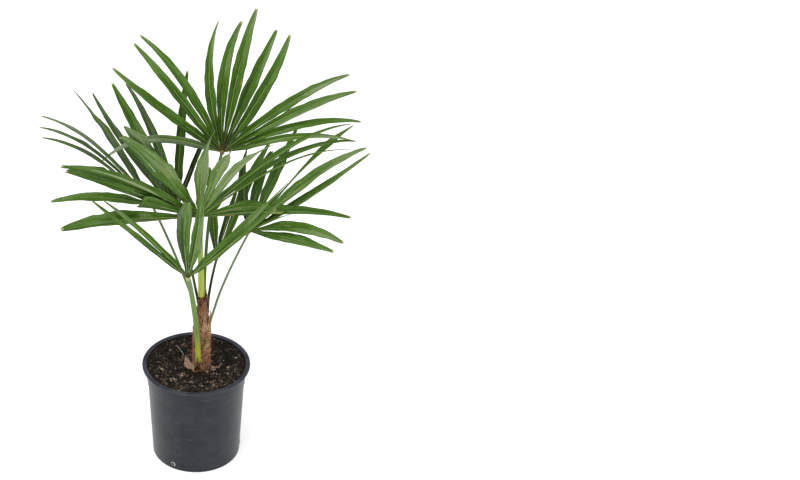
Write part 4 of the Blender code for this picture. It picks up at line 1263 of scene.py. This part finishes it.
def leaf_edge(fan, leaf, other, web, sign, middle, across, distance):
    """One edge of a leaflet as an offset from its midrib, level and lifted.

    Out to the web radius the edge is the middle between both midribs, so that it is the neighbour's edge
    too, and it is lifted into a pleat that keeps the blade's true width. Beyond it the edge goes over to
    the leaflet's own half width, and never past the middle.
    """
    normal = fan_axes(fan)[2]
    own = own_half_width(leaf, distance)
    if other is None:
        return sign * across * own[:, None] + normal * (EDGE_RISE * own)[:, None]
    apart = leaf_line(fan, other, distance) - middle
    half = 0.5 * np.linalg.norm(apart, axis=1)
    both = 0.5 * (own + own_half_width(other, distance))
    pleat = np.clip(np.sqrt(np.maximum(both ** 2 - half ** 2, 0)), 0.2 * half, 1.3 * half)
    free = np.minimum(own, np.maximum(half - 0.3 - 0.004 * (distance - web), 0.15))
    loose = smooth_step((distance - web) / 12)[:, None]
    reach = (1 - loose[:, 0]) * half + loose[:, 0] * free
    lift = (1 - loose[:, 0]) * pleat + loose[:, 0] * EDGE_RISE * free
    toward = unit((1 - loose) * apart / (2 * half[:, None] + 1e-9) + loose * sign * across)
    return toward * reach[:, None] + normal * lift[:, None]


def turned_about(vectors, axes, angles):
    """Vectors turned about axes that they are square to, by angles in radians."""
    return vectors * np.cos(angles)[:, None] + np.cross(axes, vectors) * np.sin(angles)[:, None]


def add_leaflet(shape, fan, leaf, marks, before, after, seed):
    """A leaflet: a gutter with a flat rib in the middle and halves that arch slightly and carry fine
    pleats."""
    near = np.arange(0.6 * fan.knuckle, NEAR_END, NEAR_STEP)
    far = near[-1] + (leaf.length - near[-1]) * np.arange(1, FAR_ROWS + 1) / FAR_ROWS
    distance = np.concatenate((near, far))
    part = distance / leaf.length
    middle = leaf_line(fan, leaf, distance)
    normal = fan_axes(fan)[2]
    tangent = unit(np.gradient(middle, axis=0))
    across = unit(np.cross(tangent, normal))
    twist = radians(leaf.twist) * smooth_step((part - 0.35) / 0.65) ** 1.5
    halves = []
    for sign, other, web in ((-1, before, before.web if before else 0), (1, after, leaf.web)):
        edge = leaf_edge(fan, leaf, other, web, sign, middle, across, distance)
        ripple = along_noise(distance, RIPPLE_LENGTH, seed + sign) * smooth_step((part - 0.3) * 3)
        edge = edge * (1 + WAVER * along_noise(distance, WAVER_LENGTH, seed + 3 * sign))[:, None]
        edge = edge + normal * (RIPPLE * np.linalg.norm(edge, axis=1) * ripple)[:, None]
        halves.append(turned_about(edge, tangent, twist))
    up = turned_about(np.repeat(normal[None], len(distance), 0), tangent, twist)
    tips = tangent * smooth_step((part - 0.94) / 0.06)[:, None]
    columns = []
    for edge in halves:
        reach = np.linalg.norm(edge, axis=1)
        rib = np.minimum(RIB_HALF_WIDTH / reach, 0.3)[:, None]
        share = rib + (1 - rib) * np.arange(HALF_COLUMNS) / (HALF_COLUMNS - 1)
        wave = np.minimum(PLEAT, 0.05 * reach)[:, None] * np.where(np.arange(HALF_COLUMNS) % 2, -1, 1)
        wave[:, [0, -1]] = 0
        arch = ARCH * reach[:, None] * share * (1 - share) * 4 + wave
        pointed = 0.22 * min(leaf.width, 14) * share ** 2
        spots = (middle[:, None] + share[..., None] * edge[:, None] + arch[..., None] * up[:, None]
                 + pointed[..., None] * tips[:, None])
        columns.append((spots, share * reach[:, None]))
    (left, left_places), (right, right_places) = columns
    points = np.concatenate((left[:, ::-1], right), 1)
    sideways = np.concatenate((-left_places[:, ::-1], right_places), 1)
    places = np.stack((sideways + 40 * (seed % 97), np.broadcast_to(distance[:, None], sideways.shape)), -1)
    shape.add_grid(points, places, leaf_finish(fan, leaf, marks, distance, seed))


def leaf_finish(fan, leaf, marks, distance, seed):
    """Finish number of each face: its shade of green, or another finish along the rib, the seams, the marks
    and the dry end. The shade starts dark at the joined base, which is painted shade where the leaflets
    meet and shade one another, is paler on one half of each leaflet, which is a painted sheen on the half of
    the fold that faces the light, moves with slow and fine streaks, and pales towards the tip."""
    columns = 2 * HALF_COLUMNS - 1
    mid = 0.5 * (distance[1:] + distance[:-1])[:, None]
    column = np.arange(columns)[None]
    half = np.sign(column - HALF_COLUMNS + 1)
    where = np.stack(np.broadcast_arrays(column * 1.0, mid / 30, seed * 5.0), -1)
    streak = noise(where, (1.2, 1, 1), seed)
    slow = noise(where, (9, 1.6, 1), seed + 7)
    part = mid / leaf.length
    base_shade = 2.0 if fan.seams else 3.3
    # The term with fan.halves is a painted sheen on the half of each folded leaflet that faces the light, and
    # the darkening that fades over BASE_LENGTH is painted shade where the leaflets meet at the hub.
    tone = (leaf.tone + fan.halves * (0.5 + 0.5 * slow) * half * smooth_step(mid / 90)
            - base_shade * np.exp(-mid / BASE_LENGTH) + 0.9 * streak + 0.6 * slow
            + fan.ends * smooth_step((part - 0.5) / 0.5))
    finish = np.clip(np.round(tone), 0, SHADES - 1).astype(int)
    rib = (column == HALF_COLUMNS - 1) & (part < 0.9)
    faint = np.minimum(finish + 1 + (seed % 3 == 0), SHADES - 1)
    at_hub = AMBER if fan.seams else OCHRE
    rib_end = RIB_END + RIB_MORE * (seed % 2)
    finish = np.where(rib, np.where(mid < HUB_END, at_hub, np.where(mid < rib_end, RIB, faint)), finish)
    if fan.seams:
        seam = ((column == 0) | (column == columns - 1)) & (mid < SEAM_END)
        finish = np.where(seam, RIB, finish)
    for low, high, first, last, kind in marks:
        ends = low + 6 * streak, high + 6 * streak
        marked = (mid > ends[0]) & (mid < ends[1]) & (column >= first) & (column <= last) & (streak > -0.35)
        # sheen is a painted highlight and deep a painted shade; waxy and the named finishes are the leaflet's
        # own colours
        change = {"sheen": np.minimum(finish + 1, SHADES - 1), "deep": np.maximum(finish - 2, 0),
                  "waxy": np.where(finish < SHADES, finish + WAXY, finish)}
        finish = np.where(marked, change.get(kind, MARK_FINISHES.get(kind)), finish)
    dry = leaf.length - mid + 1.5 * streak < abs(leaf.dry)
    return np.where(dry, np.where(leaf.dry > 0, STRAW, BROWN), finish)


def leaf_skin(name, colour):
    """Palm leaf blade: a leathery skin with a thin bloom of wax and parallel veins. Real veins are under
    half a millimetre apart; here they are drawn 1.1 mm apart so that they show."""
    return patterned(name, (colour,), (1.1, 45.0, 1.0), 0.06, (0.42, 0.6), on_map=True, detail=2.0,
                     Specular_IOR_Level=0.18)


def leaf_finishes(settings):
    """The shades from deep by way of mid to pale, then rib, ochre, straw, brown, amber and the waxy
    shades."""
    deep, mid, pale = (np.array(c) for c in (settings.deep, settings.mid, settings.pale))
    steps = np.linspace(0, 2, SHADES)
    shades = [deep + (mid - deep) * s if s < 1 else mid + (pale - mid) * (s - 1) for s in steps]
    named = [(f"leaf green {k + 1}", tuple(c)) for k, c in enumerate(shades)]
    named += [("leaf rib", settings.rib), ("ochre rib", settings.ochre), ("straw tip", settings.straw),
              ("brown tip", settings.brown), ("amber streak", settings.amber)]
    named += [(f"waxy leaf {k + 1}", tuple(c + BLOOM * (c.mean() - c))) for k, c in enumerate(shades)]
    return [leaf_skin(name, tuple(colour)) for name, colour in named]


class PALM_OT_make_leaves(bpy.types.Operator):
    """Makes the seven fans of leaflets"""

    bl_idname = "palm.make_leaves"
    bl_label = "Make Leaves"
    bl_options = {"REGISTER", "UNDO"}

    def execute(self, context):
        settings = context.scene.palm_leaf
        finishes = leaf_finishes(settings)
        for number, (name, fan) in enumerate(FANS.items()):
            shape = Shape()
            row = [leaf for leaf in fan.leaves if leaf.over is None]
            before, after = dict(zip(row[1:], row)), dict(zip(row, row[1:]))
            for k, leaf in enumerate(fan.leaves):
                marks = MARKS.get((name, leaf.angle), ())
                if (name, leaf.angle) in WAXY_LEAVES:
                    marks += (WAX_ALL_OVER,)
                seed = settings.seed + 20 * number + k
                add_leaflet(shape, fan, leaf, marks, before.get(leaf), after.get(leaf), seed)
            piece = shape.piece(f"{name}_leaflets", "leaf", finishes, BLADES[name])
            solidify(piece, settings.thickness / MM)
        return {"FINISHED"}


class PALM_OT_make_stage(bpy.types.Operator):
    """Makes the pale floor, the soft lights and the camera"""

    bl_idname = "palm.make_stage"
    bl_label = "Make Stage"
    bl_options = {"REGISTER", "UNDO"}

    def execute(self, context):
        settings = context.scene.palm_stage
        self.make_floor(settings)
        self.make_lights(context, settings)
        self.make_camera(context, settings)
        context.scene.view_settings.view_transform = "Standard"
        return {"FINISHED"}

    def make_floor(self, settings):
        """A wide flat disc just under the pot."""
        angle, reach = np.meshgrid(np.linspace(0, 2 * np.pi, 65), FLOOR_RINGS)
        points = round_axis(reach, angle, FLOOR_HEIGHT)
        shape = Shape()
        shape.add_grid(points, points[..., :2])
        # Opal acrylic, lit from below: white, matt and without a pattern
        paint = patterned("matt light table", (settings.floor,), 300, 0.0, (0.8, 0.9),
                          Emission_Color=(1, 1, 1, 1), Emission_Strength=settings.glow)
        floor = shape.piece("floor", "pot_plastic", [paint])

    def make_lights(self, context, settings):
        """An even white surround and two round lamps that face the middle of the plant."""
        world = bpy.data.worlds.new("studio")
        world.use_nodes = True
        tree = world.node_tree
        feed(tree, tree.nodes["Background"], {"Color": (1, 1, 1, 1), "Strength": settings.sky})
        context.scene.world = world
        for name, spot, size, power in LAMPS:
            light = bpy.data.lights.new(name, "AREA")
            light.shape = "DISK"
            light.size = size
            light.energy = power
            back = np.array(spot, float) - (0, 0, LAMP_AIM)
            new_object(name, light).matrix_world = looking(spot, -unit(back))

    def make_camera(self, context, settings):
        """The camera looks down on the aim point and is then turned about its own upright, so that the pot's
        axis falls left of the picture's middle."""
        down = settings.elevation
        straight = np.array((0, cos(down), -sin(down)))
        right = np.array((1.0, 0, 0))
        turn = atan((PICTURE_WIDTH / 2 - AXIS_COLUMN) * SENSOR_WIDTH / PICTURE_WIDTH / settings.lens)
        place = np.array((0, 0, settings.aim_height)) - straight * settings.distance
        data = bpy.data.cameras.new("camera")
        data.lens = settings.lens
        data.sensor_width = SENSOR_WIDTH
        camera = new_object("camera", data)
        forward = cos(turn) * straight + sin(turn) * right
        camera.matrix_world = looking(place, forward, np.cross(right, straight))
        context.scene.camera = camera


def looking(place, forward, upright=(0, 0, 1)):
    """A world matrix at a place, looking along a direction."""
    right = unit(np.cross(forward, upright))
    up = np.cross(right, forward)
    turn = np.stack((right, up, -np.asarray(forward)), 1)
    matrix = np.eye(4)
    matrix[:3, :3], matrix[:3, 3] = turn, place
    return Matrix(matrix.tolist())


class PALM_PT_panel(bpy.types.Panel):
    """Sidebar panel that lists the palm's steps and settings"""

    bl_label = "Potted Palm"
    bl_idname = "PALM_PT_panel"
    bl_space_type = "VIEW_3D"
    bl_region_type = "UI"
    bl_category = "Palm"

    def draw(self, context):
        for operator in OPERATORS:
            self.layout.operator(operator.bl_idname)
        for name, group in SETTINGS.items():
            box = self.layout.box()
            box.label(text=group.__doc__)
            for setting in group.__annotations__:
                box.prop(getattr(context.scene, name), setting)


OPERATORS = (PALM_OT_make_stage, PALM_OT_make_pot, PALM_OT_make_soil, PALM_OT_make_trunk, PALM_OT_make_stalks,
             PALM_OT_make_leaves)


def register():
    for group in (*SETTINGS.values(), *OPERATORS, PALM_PT_panel):
        bpy.utils.register_class(group)
    for name, group in SETTINGS.items():
        setattr(bpy.types.Scene, name, PointerProperty(type=group))


def unregister():
    for name in SETTINGS:
        delattr(bpy.types.Scene, name)
    for group in (PALM_PT_panel, *OPERATORS[::-1], *SETTINGS.values()):
        bpy.utils.unregister_class(group)


def main():
    """Makes everything in order."""
    register()
    bpy.ops.palm.make_stage()
    bpy.ops.palm.make_pot()
    bpy.ops.palm.make_soil()
    bpy.ops.palm.make_trunk()
    bpy.ops.palm.make_stalks()
    bpy.ops.palm.make_leaves()
    bpy.context.view_layer.update()


if __name__ == "__main__":
    main()
